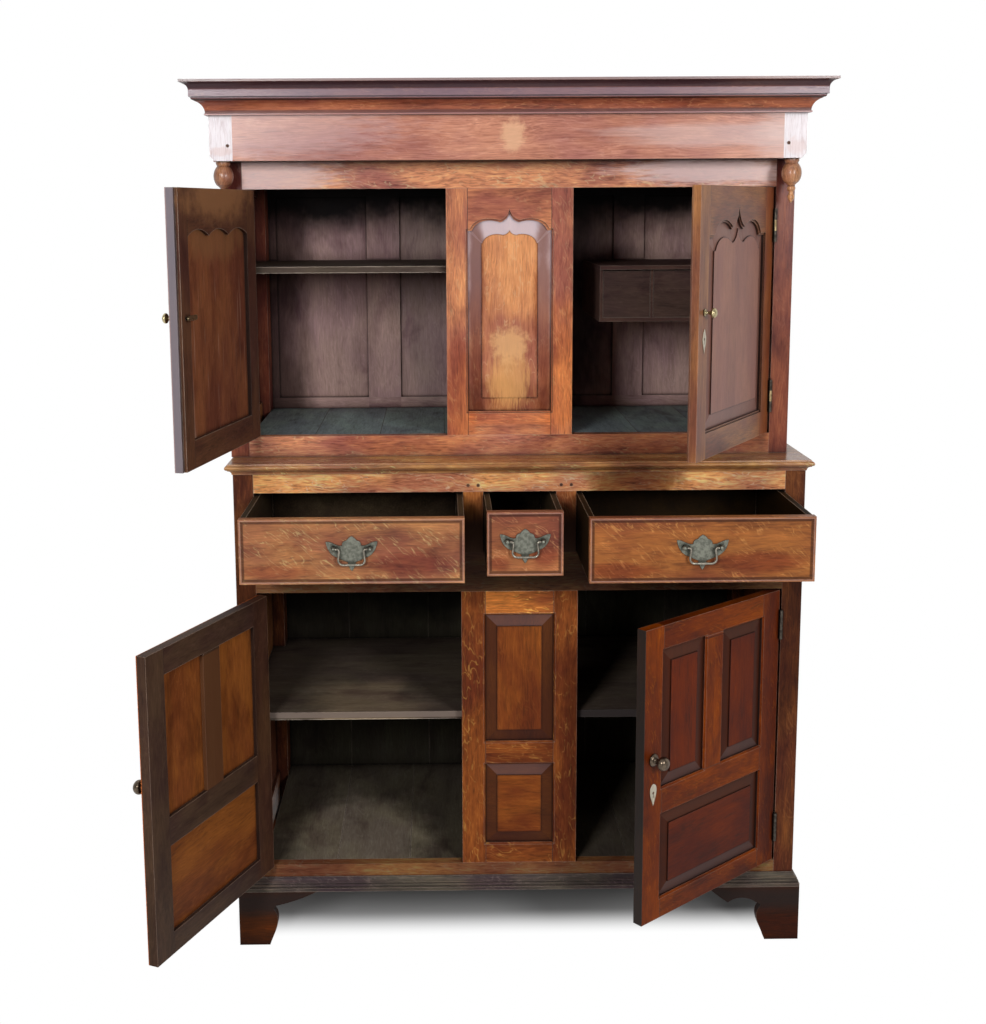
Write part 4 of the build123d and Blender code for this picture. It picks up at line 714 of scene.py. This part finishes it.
# ---- Canopy ----------------------------------------------------------------------
# The frieze board stands forward on two corner posts with turned pendants under
# them; a run moulding crowns it. Its face is pale and pinkish with painted sheen.
frieze_tones = ((0.26, 0.1, 0.07), (0.48, 0.22, 0.15), (0.66, 0.36, 0.25), (0.85, 0.56, 0.42))
finish_of("frieze_rails", oak(
    "frieze oak", tinted(frieze_tones, 1.2, 1.1, 1.18), rails(()),
    flecks=0.1, slant=0.1, figure=0.25, stain=0.25, gloss=0.18, shine=0.25, mottle=0.5,
    layers=[
        # Painted sheen: pale pink towards both ends, darker patches nearer the middle where it gives out.
        wash((-0.27, 0.005, 1.82), (0.14, 0.1, 0.05), (0.75, 0.6, 0.58), 0.5, (12, 12, 40)),
        wash((0.2, 0.005, 1.82), (0.12, 0.1, 0.05), (0.78, 0.66, 0.62), 0.4, (12, 12, 40)),
        spot((-0.55, 0.005, 1.83), (0.36, 0.1, 0.07), (0.66, 0.46, 0.46), 0.4, (20, 20, 120)),
        spot((0.42, 0.005, 1.815), (0.3, 0.1, 0.03), (0.78, 0.58, 0.54), 0.45, (5, 5, 60)),
        spot((0.58, 0.005, 1.81), (0.1, 0.1, 0.07), (0.74, 0.54, 0.5), 0.4, (12, 12, 90)),
        spot((-0.014, 0.005, 1.817), (0.03, 0.03, 0.042), (0.86, 0.5, 0.3), 0.75, (90, 90, 90)),
    ],
))
painted_sheen_tones = ((0.5, 0.36, 0.37), (0.78, 0.7, 0.73), (0.88, 0.84, 0.87), (0.9, 0.86, 0.88))
# The corner posts are near white with painted sheen; the pinker spots low on them are where it gives out.
finish_of("canopy_posts", oak(
    "bleached post oak", painted_sheen_tones, posts,
    flecks=0.0, stain=0.1, gloss=0.2, shine=0.4, mottle=0.0, edge_wear_and_light_colour=(0.85, 0.75, 0.75),
    layers=[
        spot((0.585, 0.005, 1.79), (0.03, 0.05, 0.022), (0.62, 0.4, 0.36), 0.5),
        spot((-0.63, 0.005, 1.785), (0.03, 0.05, 0.012), (0.6, 0.36, 0.32), 0.5),
    ],
))
finish_of("canopy_boards", oak(
    "canopy board oak", dry_tones, rails(()), **dry,
))
cornice_tones = ((0.08, 0.028, 0.018), (0.25, 0.085, 0.045), (0.36, 0.15, 0.085), (0.6, 0.28, 0.12))
finish_of("cornice_moulding", oak(
    "cornice oak", tinted(cornice_tones, 1.7, 1.45, 1.55), rails(()),
    flecks=0.4, slant=0.1, stain=0.5, grime_and_shade=0.9, rubbed=0.5, edge_wear_and_light_colour=(0.3, 0.2, 0.2),
    gloss=0.2, shine=0.3,
    layers=[
        # Bands along the profile: the pale ones are painted sheen on the fillets and fasciae, the dark ones
        # painted shade in the grooves and the hollow.
        banded(1.859, 1.8635, (0.42, 0.24, 0.24), 0.7, 0.001),
        banded(1.864, 1.87, (0.11, 0.045, 0.045), 0.8, 0.002),
        banded(1.8885, 1.8925, (0.03, 0.01, 0.009), 0.9, 0.001),
        banded(1.893, 1.911, (0.25, 0.19, 0.235), 0.75, 0.002),
        banded(1.8945, 1.897, (0.11, 0.08, 0.09), 0.8, 0.001),
        banded(1.911, 1.9245, (0.04, 0.022, 0.03), 0.9, 0.002),
        banded(1.925, 1.94, (0.36, 0.29, 0.29), 0.8, 0.001),
    ],
))
turned_tones = ((0.13, 0.055, 0.033), (0.4, 0.17, 0.088), (0.66, 0.31, 0.17), (0.88, 0.48, 0.26))
finish_of("pendants", oak(
    "turned oak", tinted(turned_tones, 1.34, 1.44, 1.53), posts,
    flecks=0.1, rubbed=0.2, gloss=0.2, shine=0.5,
))
peg_tones = ((0.044, 0.022, 0.015), (0.11, 0.048, 0.033), (0.18, 0.077, 0.048), (0.22, 0.11, 0.066))
finish_of("frame_pegs", oak(
    "peg oak", peg_tones, posts, flecks=0.0, rubbed=0.2,
))


# ---- Doors ---------------------------------------------------------------------------
# Framed doors with fielded panels. The inner faces never saw wax: they are browner,
# matter, and scratched. Each door's grain follows its frame, as when it is shut.
class Door:
    """An open door: its pin, the degrees that turn it shut, and the middle of its width."""
    def __init__(self, name, half_width):
        hinge = next(joint for joint in frame["joints"] if joint["child"] == name)
        self.pin = (*hinge["pos_m"][:2], 0.0)
        self.degrees = hinge["range_deg"][0] * hinge["axis"][2]
        self.middle = self.pin[0] - math.copysign(half_width, self.pin[0])


def as_shut(tree, place, door):
    """Where a point of the door is with the door shut."""
    return put(tree, "VectorRotate", {
        "Vector": place, "Center": door.pin, "Axis": (0, 0, 1), "Angle": math.radians(door.degrees),
    }, rotation_type="AXIS_ANGLE").outputs[0]


def door_frame(door, half, limits, muntin=None):
    """Stiles upright, rails lying, and the muntin upright between two levels."""
    def boards(tree, place):
        shut = as_shut(tree, place, door)
        x, y, z = parts_of(tree, shut)
        off = work_out(tree, "ABSOLUTE", work_out(tree, "SUBTRACT", x, door.middle))
        upright = beyond(tree, off, half)
        seam = seam_at(tree, off, half)
        if muntin:
            on_muntin = work_out(tree, "LESS_THAN", off, muntin_half)
            stands = work_out(tree, "MULTIPLY", on_muntin, within(tree, z, *muntin))
            upright = work_out(tree, "ADD", upright, stands, True)
            for level in muntin:
                end = work_out(tree, "MULTIPLY", seam_at(tree, z, level), on_muntin)
                seam = work_out(tree, "ADD", seam, end, True)
        seed = frame_seeds(tree, upright, x, z, door.middle, limits)
        board = either(tree, upright, grain(tree, shut, LYING), grain(tree, shut, UPRIGHT))
        return board, seed, work_out(tree, "MULTIPLY", seam, 0.8)
    return boards


def outer_face(back, tint):
    """Another shade for the waxed face of a door, as far back as given."""
    return painted((-1, -1, 0), (1, back, 2), tint, 1.0, 0.001, "MULTIPLY")


def door_board(door):
    """One upright board in an upper door."""
    def boards(tree, place):
        return grain(tree, as_shut(tree, place, door), UPRIGHT), 3.3, 0.0
    return boards


def door_panels(door, limit):
    """Panels: upright above the limit, lying under it; another board left and right."""
    def boards(tree, place):
        shut = as_shut(tree, place, door)
        x, y, z = parts_of(tree, shut)
        upper = beyond(tree, z, limit)
        right_one = work_out(tree, "MULTIPLY", upper, beyond(tree, x, door.middle))
        seed = work_out(tree, "ADD", work_out(tree, "MULTIPLY", upper, 3.3),
                        work_out(tree, "MULTIPLY", right_one, 1.7))
        return either(tree, upper, grain(tree, shut, LYING), grain(tree, shut, UPRIGHT)), seed, 0.0
    return boards


upper_left, upper_right = Door("upper_left_door", 0.22), Door("upper_right_door", 0.22)
lower_left, lower_right = Door("lower_left_door", 0.2255), Door("lower_right_door", 0.2255)
upper_door_opening, lower_door_opening = 0.167, 0.1665
muntin_half, muntin_span = 0.031, (0.478, 0.767)
upper_door_front, lower_door_front = 0.083, 0.0
inner_tones = ((0.077, 0.035, 0.02), (0.2, 0.081, 0.04), (0.29, 0.13, 0.066), (0.44, 0.22, 0.12))
outer_tones = ((0.11, 0.04, 0.022), (0.28, 0.079, 0.029), (0.42, 0.14, 0.044), (0.75, 0.33, 0.11))
smooth_tones = ((0.24, 0.12, 0.085), (0.34, 0.17, 0.13), (0.42, 0.23, 0.18), (0.46, 0.26, 0.2))
hazy_tones = ((0.15, 0.07, 0.048), (0.35, 0.17, 0.11), (0.53, 0.28, 0.2), (0.66, 0.37, 0.26))
inner = dict(flecks=0.2, stain=0.6, grime_and_shade=0.6, rubbed=0.5, gloss=0.5, mottle=0.6)
finish_of("upper_left_door_frame", oak(
    "upper left door oak", tinted(inner_tones, 0.63, 0.64, 0.79),
    door_frame(upper_left, upper_door_opening, (1.4,)),
    door=upper_left,
    layers=[
        spot((-0.37, 0.08, 1.69), (0.24, 0.1, 0.06), (0.42, 0.2, 0.085), 0.7, (24, 24, 24)),
        # Painted reflection along the door's free edge.
        spot((-0.158, 0.08, 1.42), (0.007, 0.3, 1.4), (0.26, 0.235, 0.27), 0.75, (60, 60, 30)),
        outer_face(upper_door_front + 0.002, (1.7, 1.4, 1.25)),
    ],
    **dict(inner, edge_wear_and_light_colour=(0.5, 0.4, 0.32), rubbed=0.8),
))
finish_of("upper_left_door_panel", oak(
    "upper left panel oak", tinted(inner_tones, 1.23, 1.0, 0.96), door_board(upper_left),
    door=upper_left,
    layers=[
        spot((-0.38, 0.08, 1.62), (0.22, 0.1, 0.07), (0.36, 0.17, 0.07), 0.5, (30, 30, 9)),
    ],
    **dict(inner, scratches=0.5),
))
finish_of("upper_right_door_frame", oak(
    "upper right door oak", tinted(hazy_tones, 0.95, 0.75, 0.47),
    door_frame(upper_right, upper_door_opening, (1.4,)),
    flecks=0.05, stain=0.4, grime_and_shade=0.95, gloss=0.3, shine=0.25, door=upper_right,
    layers=[
        wash((0.545, 0.08, 1.4), (0.06, 0.3, 1.0), (0.85, 0.6, 0.5), 0.9, (9, 9, 5)),
    ],
))
finish_of("upper_right_door_panel", oak(
    "upper right panel oak", tinted(smooth_tones, 1.12, 0.89, 0.81), door_board(upper_right),
    # The near-black edge tint is painted shade in the steps round the field.
    flecks=0.0, stain=0.2, grime_and_shade=0.95, rubbed=1.0, edge_wear_and_light_colour=(0.03, 0.014, 0.01), edge=0.004,
    mottle=0.3, gloss=0.3, shine=0.25, door=upper_right,
    layers=[
        # Painted light and shade on the sloping margins by how they face.
        margin_light_and_shade((0.14, 0.06, 0.045), (0.22, 0.12, 0.1), (0.24, 0.13, 0.11), 0.5, door=upper_right),
    ],
))
inner_dark = ((0.055, 0.029, 0.018), (0.13, 0.07, 0.042), (0.2, 0.11, 0.066), (0.29, 0.17, 0.099))
inner_warm = ((0.11, 0.04, 0.015), (0.24, 0.084, 0.024), (0.35, 0.13, 0.04), (0.44, 0.18, 0.066))
finish_of("lower_left_door_frame", oak(
    "lower left door oak", tinted(inner_dark, 0.62, 0.6, 0.67),
    door_frame(lower_left, lower_door_opening, (0.3, 0.7), muntin_span),
    door=lower_left,
    layers=[
        wash((-0.56, 0.0, 0.5), (0.06, 0.3, 0.7), (1.3, 1.05, 0.8), 0.8, (9, 9, 5)),
        painted((lower_left.middle - muntin_half, 0.004, muntin_span[0]),
                (lower_left.middle + muntin_half, 1, muntin_span[1]), (0.16, 0.06, 0.022), 0.75, 0.002),
        outer_face(lower_door_front + 0.002, (4.0, 1.8, 0.65)),
    ],
    **inner,
))
finish_of("lower_left_door_panels", oak(
    "lower left panel oak", tinted(inner_warm, 1.3, 1.12, 0.88), door_panels(lower_left, 0.45),
    door=lower_left,
    layers=[
        outer_face(lower_door_front + 0.0095, (1.0, 0.5, 0.4)),
    ],
    **inner,
))
finish_of("lower_right_door_frame", oak(
    "lower right door oak", tinted(outer_tones, 0.81, 0.49, 0.04),
    door_frame(lower_right, lower_door_opening, (0.3, 0.7), muntin_span),
    flecks=0.25, figure=0.7, stain=0.8, grime_and_shade=0.95, door=lower_right,
    layers=[
        wash((0.3555, 0.0, 0.16), (0.3, 0.3, 0.06), (0.6, 0.5, 0.45), 0.8, (14, 14, 14)),
        wash((0.56, 0.0, 0.5), (0.05, 0.3, 0.5), (0.7, 0.6, 0.55), 0.8, (14, 14, 9)),
        painted((0.1, -1, 0), (0.1322, 1, 1), (0.022, 0.022, 0.02), 0.93, 0.001),
    ],
))
finish_of("lower_right_door_panels", oak(
    "lower right panel oak", tinted(outer_tones, 0.47, 0.2, 0.011), door_panels(lower_right, 0.45),
    # The near-black edge tint is painted shade in the steps round the fields.
    flecks=0.05, stain=0.4, grime_and_shade=0.95, rubbed=1.0, edge_wear_and_light_colour=(0.015, 0.005, 0.004),
    edge=0.005, door=lower_right,
    layers=[
        # Painted light and shade on the sloping margins by how they face.
        margin_light_and_shade((0.05, 0.014, 0.006), (0.07, 0.028, 0.016), (0.1, 0.062, 0.055), 0.75,
                door=lower_right),
    ],
))


# ---- Drawers ----------------------------------------------------------------------------
# Nailed drawers with a cock bead round a figured front; the linings are dry oak,
# rubbed pale along their top edges.
drawer_tones = ((0.2, 0.077, 0.044), (0.44, 0.17, 0.075), (0.66, 0.25, 0.11), (1.25, 0.64, 0.26))
lining_tones = ((0.066, 0.044, 0.026), (0.15, 0.099, 0.062), (0.24, 0.17, 0.11), (0.35, 0.24, 0.17))

# A line that runs round a rectangle on the front, a little inside its edge.
edge_line, given, result = new_group(
    "Edge line",
    [("Place", "vector", (0, 0, 0)), ("Centre", "vector", (0, 0, 0)), ("Half", "vector", (0.1, 1, 0.1)),
     ("Inset", "value", 0.003), ("Width", "value", 0.003)],
    [("Share", "value")],
)
away = vector_sum(edge_line, "SUBTRACT", given["Place"], given["Centre"])
away = put(edge_line, "VectorMath", {0: away}, operation="ABSOLUTE").outputs[0]
x, y, z = parts_of(edge_line, vector_sum(edge_line, "SUBTRACT", given["Half"], away))
inside = work_out(edge_line, "MINIMUM", x, z)
off = work_out(edge_line, "ABSOLUTE", work_out(edge_line, "SUBTRACT", inside, given["Inset"]))
line = work_out(edge_line, "DIVIDE", off, work_out(edge_line, "MULTIPLY", given["Width"], 0.5))
share = work_out(edge_line, "MULTIPLY", ramp(edge_line, line, 1.4, 0.6), beyond(edge_line, y, 0.0))
edge_line.links.new(share, result["Share"])


def line_round(centre, half, inset, width, tint, strength):
    """Tints the line that runs round a front, inset from its edge."""
    def lay(tree, place, colour):
        ring = put(tree, "Group", {
            "Place": place, "Centre": centre, "Half": half, "Inset": inset, "Width": width,
        }, node_tree=edge_line)
        share = work_out(tree, "MULTIPLY", ring.outputs["Share"], strength)
        return blend(tree, share, colour, (*tint, 1))
    return lay


def box_of(name):
    """The lowest and the highest corner of a piece."""
    axes = list(zip(*(vertex.co for vertex in piece[name].data.vertices)))
    return Vector([min(axis) for axis in axes]), Vector([max(axis) for axis in axes])


front_tints = {"left": (1.03, 1.12, 1.21), "centre": (0.79, 0.73, 0.81), "right": (0.76, 0.67, 0.52)}
# The right drawer's lining is toned far darker than the others: painted shade on its side.
lining_tints = {"left": (0.29, 0.28, 0.23), "centre": (0.29, 0.28, 0.23), "right": (0.11, 0.07, 0.005)}
for hand, seed in (("left", 2.2), ("centre", 5.6), ("right", 8.9)):
    low, high = box_of(f"{hand}_drawer_front")
    middle = (low + high) / 2
    half = (high - low) / 2 + Vector((0, 0.02, 0))
    layers = [
        wash((middle.x + 0.5 * half.x, middle.y, 0.955), (0.5 * half.x, 0.1, 0.03),
             (0.62, 0.42, 0.5), 0.9, (14, 14, 30)),
        wash((middle.x - 0.7 * half.x, middle.y, 0.94), (0.4 * half.x, 0.1, 0.02),
             (0.7, 0.5, 0.55), 0.9, (14, 14, 30)),
        line_round(middle, half, 0.0075, 0.005, (0.035, 0.013, 0.01), 0.7),
        line_round(middle, half, 0.003, 0.0022, (0.6, 0.36, 0.3), 0.4),
    ]
    finish_of(f"{hand}_drawer_front", oak(
        f"{hand} drawer oak", tinted(drawer_tones, *front_tints[hand]), one_board(seed, LYING),
        flecks=0.4, slant=0.8, stain=0.7, figure=0.6, rubbed=0.45, edge_wear_and_light_colour=(0.79, 0.44, 0.29),
        gloss=0.3, shine=0.15, layers=layers,
    ))
    finish_of(f"{hand}_drawer_box", oak(
        f"{hand} lining oak", tinted(lining_tones, *lining_tints[hand]), one_board(seed + 1, DEEP),
        **dict(dry, rubbed=0.8, edge_wear_and_light_colour=(0.66, 0.48, 0.35)),
    ))


# ---- Brass, iron and bone ------------------------------------------------------------------
# Cast brass handles gone grey-green, rubbed on the bails; brass knobs; iron butt
# hinges; escutcheons of yellowed bone.
tarnish, given, result = new_group(
    "Tarnish",
    [
        ("Place", "vector", (0, 0, 0)), ("Metal", "colour", (0.5, 0.4, 0.2, 1)),
        ("Patina", "colour", (0.12, 0.11, 0.08, 1)), ("Amount", "value", 0.6), ("Gloss", "value", 0.3),
    ],
    [("Colour", "colour"), ("Roughness", "value"), ("Height", "value")],
)
cloud = noise(tarnish, given["Place"], 5.0, 0.6, 0.0, 140.0)
fine = noise(tarnish, given["Place"], 3.0, 0.6, 0.0, 900.0)
closed = closeness(tarnish, 0.008)
dull = work_out(tarnish, "ADD", ramp(tarnish, cloud, 0.35, 0.65), ramp(tarnish, closed, 0.9, 0.4), True)
dull = work_out(tarnish, "MULTIPLY", dull, given["Amount"], True)
tarnish.links.new(blend(tarnish, dull, given["Metal"], given["Patina"]), result["Colour"])
tarnish.links.new(work_out(tarnish, "ADD", given["Gloss"], work_out(
    tarnish, "MULTIPLY", dull, 0.3), True), result["Roughness"])
tarnish.links.new(work_out(tarnish, "ADD", cloud, work_out(tarnish, "MULTIPLY", fine, 0.4)), result["Height"])


def metal(name, bright, patina, amount, gloss):
    """A tarnished metal, with painted shade where it meets the wood and wherever something stands close to
    it.
    """
    made = bpy.data.materials.new(name)
    made.use_nodes = True
    tree = made.node_tree
    tree.nodes.clear()
    aged = put(tree, "Group", {
        "Place": place_on(tree), "Metal": (*bright, 1), "Patina": (*patina, 1),
        "Amount": amount, "Gloss": gloss,
    }, node_tree=tarnish)
    raised = put(tree, "Bump", {"Height": aged.outputs["Height"], "Strength": 0.25, "Distance": 0.0003})
    contact_shade = (0.012, 0.012, 0.01, 1)
    # Painted shade where the metal is closed in.
    shaded = blend(tree, ramp(tree, closeness(tree, 0.012), 0.92, 0.55), aged.outputs["Colour"], contact_shade)
    shader = put(tree, "BsdfPrincipled", {
        "Base Color": shaded, "Roughness": aged.outputs["Roughness"],
        "Normal": raised.outputs[0], "Metallic": 1.0,
    })
    put(tree, "OutputMaterial", {"Surface": shader.outputs[0]})
    return made


plate_brass = metal("grey-green brass", (0.24, 0.245, 0.2), (0.06, 0.06, 0.05), 0.6, 0.34)
bail_brass = metal("rubbed bail brass", (0.36, 0.33, 0.27), (0.08, 0.075, 0.06), 0.6, 0.3)
knob_brass = metal("pale knob brass", (0.55, 0.46, 0.26), (0.15, 0.12, 0.07), 0.55, 0.26)
hinge_iron = metal("old hinge iron", (0.1, 0.085, 0.07), (0.03, 0.024, 0.02), 0.7, 0.45)
hinge_brass = metal("rubbed hinge brass", (0.5, 0.38, 0.2), (0.07, 0.045, 0.025), 0.6, 0.4)
bronze = metal("dark knob bronze", (0.16, 0.12, 0.085), (0.045, 0.036, 0.028), 0.6, 0.25)
for hand in ("left", "centre", "right"):
    finish_of(f"{hand}_handle_plate", plate_brass)
    finish_of(f"{hand}_bail", bail_brass)
for name in ("upper_left_door_catch", "upper_right_door_knob"):
    finish_of(name, knob_brass)
finish_of("post_hinges", hinge_iron)
for door in ("upper_left", "lower_left", "lower_right"):
    finish_of(f"{door}_door_hinges", hinge_iron)
finish_of("upper_right_door_hinges", hinge_brass)
for hand in ("left", "right"):
    finish_of(f"lower_{hand}_door_knob", bronze)

bone = bpy.data.materials.new("yellowed bone")
bone.use_nodes = True
tree = bone.node_tree
tree.nodes.clear()
lines = spread(tree, place_on(tree), (600, 600, 60), 3.0)
shade = blend(tree, ramp(tree, lines, 0.4, 0.65), (0.78, 0.72, 0.58, 1), (0.58, 0.48, 0.33, 1))
# Painted shade in the keyhole and at the closed-in edges.
shade = blend(tree, ramp(tree, closeness(tree, 0.002), 0.85, 0.4), shade, (0.02, 0.014, 0.01, 1))
raised = put(tree, "Bump", {"Height": lines, "Strength": 0.15, "Distance": 0.0002})
shader = put(tree, "BsdfPrincipled", {"Base Color": shade, "Roughness": 0.35, "Normal": raised.outputs[0]})
put(tree, "OutputMaterial", {"Surface": shader.outputs[0]})
for stage in ("upper", "lower"):
    finish_of(f"{stage}_escutcheon", bone)


# ---- Floor, room and lamps ---------------------------------------------------------------------
# A plain white studio floor, two soft boxes in front at head height and one
# overhead; the cupboard keeps its soft shadow on the floor.
ground = bpy.data.meshes.new("floor")
reach = 30
corners = [(-reach, -reach, 0), (reach, -reach, 0), (reach, reach, 0), (-reach, reach, 0)]
ground.from_pydata(corners, [], [(0, 1, 2, 3)])
floor = bpy.data.objects.new("floor", ground)
bpy.context.scene.collection.objects.link(floor)
white = bpy.data.materials.new("studio floor")
white.use_nodes = True
tree = white.node_tree
tree.nodes.clear()
path = put(tree, "LightPath").outputs
seen = work_out(tree, "ADD", path["Is Camera Ray"], path["Is Glossy Ray"])
seen = work_out(tree, "ADD", seen, path["Is Transmission Ray"], True)
paper = put(tree, "BsdfDiffuse", {"Color": (0.42, 0.42, 0.42, 1)}).outputs[0]
carpet = put(tree, "BsdfDiffuse", {"Color": (0.3, 0.3, 0.3, 1)}).outputs[0]
lift = put(tree, "Emission", {"Color": (1, 1, 1, 1), "Strength": 0.03}).outputs[0]
plain = put(tree, "Emission", {"Color": (1, 1, 1, 1), "Strength": 1.0}).outputs[0]

# The shadow is kept under the cupboard and fades to plain white a little outside it.
shadow_middle, shadow_half, steeper_ends, fade = (0.0, 0.36, 0.0), (0.63, 0.22, 0.0), (3.2, 1.0, 1.0), 0.125
away = vector_sum(tree, "SUBTRACT", place_on(tree), shadow_middle)
away = put(tree, "VectorMath", {0: away}, operation="ABSOLUTE").outputs[0]
away = vector_sum(tree, "MAXIMUM", vector_sum(tree, "SUBTRACT", away, shadow_half), (0.0, 0.0, 0.0))
away = vector_sum(tree, "MULTIPLY", away, steeper_ends)
far = put(tree, "VectorMath", {0: away}, operation="LENGTH").outputs[1]
shaded = put(tree, "AddShader", {0: paper, 1: lift}).outputs[0]
shown = put(tree, "MixShader", {0: ramp(tree, far, 0.0, fade), 1: shaded, 2: plain}).outputs[0]
both = put(tree, "MixShader", {0: seen, 1: carpet, 2: shown}).outputs[0]
put(tree, "OutputMaterial", {"Surface": both})
ground.materials.append(white)

world = bpy.data.worlds.new("white room")
bpy.context.scene.world = world
world.use_nodes = True
tree = world.node_tree
tree.nodes.clear()
path = put(tree, "LightPath").outputs
heading = parts_of(tree, put(tree, "TexCoord").outputs["Generated"])[1]
mirrored = work_out(tree, "ADD", path["Is Glossy Ray"], path["Is Transmission Ray"], True)
mirrored = work_out(tree, "MULTIPLY", mirrored, ramp(tree, heading, -0.5, 0.1, 0.12, 1.0))
seen = work_out(tree, "ADD", path["Is Camera Ray"], mirrored, True)
room = put(tree, "Background", {"Color": (1, 1, 1, 1), "Strength": 0.05}).outputs[0]
backdrop = put(tree, "Background", {"Color": (1, 1, 1, 1), "Strength": 1.0}).outputs[0]
both = put(tree, "MixShader", {0: seen, 1: room, 2: backdrop}).outputs[0]
put(tree, "OutputWorld", {"Surface": both})


def soft_box(name, where, towards, size, power):
    """A rectangular soft light, turned to a point."""
    light = bpy.data.lights.new(name, "AREA")
    light.shape = "RECTANGLE"
    light.size, light.size_y = size
    light.energy = power
    lamp = bpy.data.objects.new(name, light)
    lamp.location = where
    lamp.rotation_euler = (Vector(towards) - Vector(where)).to_track_quat("-Z", "Y").to_euler()
    bpy.context.scene.collection.objects.link(lamp)


soft_box("left soft box", (-1.3, -3.0, 2.15), (-0.2, 0.1, 1.2), (0.7, 0.9), 48)
soft_box("right soft box", (1.6, -3.0, 2.1), (0.2, 0.1, 1.2), (0.7, 0.9), 48)
soft_box("overhead soft box", (0.0, -1.9, 3.6), (0, 0.1, 1.2), (2.4, 1.2), 9)

# ---- Camera ----------------------------------------------------------------------------------------
# Stands three metres in front, a little left of the middle, at eye height.
lens = bpy.data.cameras.new("camera")
focal, width, tall = 1362.05, 986, 1024
middle_x, middle_y = 453.9, 421.22
lens.sensor_fit = "AUTO"
lens.sensor_width = 36.0
lens.lens = focal / tall * 36.0
lens.shift_x = (width / 2 - middle_x) / tall
lens.shift_y = (middle_y - tall / 2) / tall
lens.clip_start, lens.clip_end = 0.05, 100
camera = bpy.data.objects.new("camera", lens)
yaw, pitch, roll = math.radians(0.55), math.radians(8.78), math.radians(-0.35)
level = math.cos(pitch)
forward = Vector((math.sin(yaw) * level, math.cos(yaw) * level, -math.sin(pitch)))
right = Vector((math.cos(yaw), -math.sin(yaw), 0))
up = right.cross(forward)
turned_right = right * math.cos(roll) + up * math.sin(roll)
turned_up = up * math.cos(roll) - right * math.sin(roll)
camera.matrix_world = Matrix.Translation((-0.17115, -2.92031, 1.65931)) @ Matrix((
    (turned_right.x, turned_up.x, -forward.x, 0),
    (turned_right.y, turned_up.y, -forward.y, 0),
    (turned_right.z, turned_up.z, -forward.z, 0),
    (0, 0, 0, 1),
))
bpy.context.scene.collection.objects.link(camera)
bpy.context.scene.camera = camera
bpy.context.scene.view_settings.view_transform = "Standard"
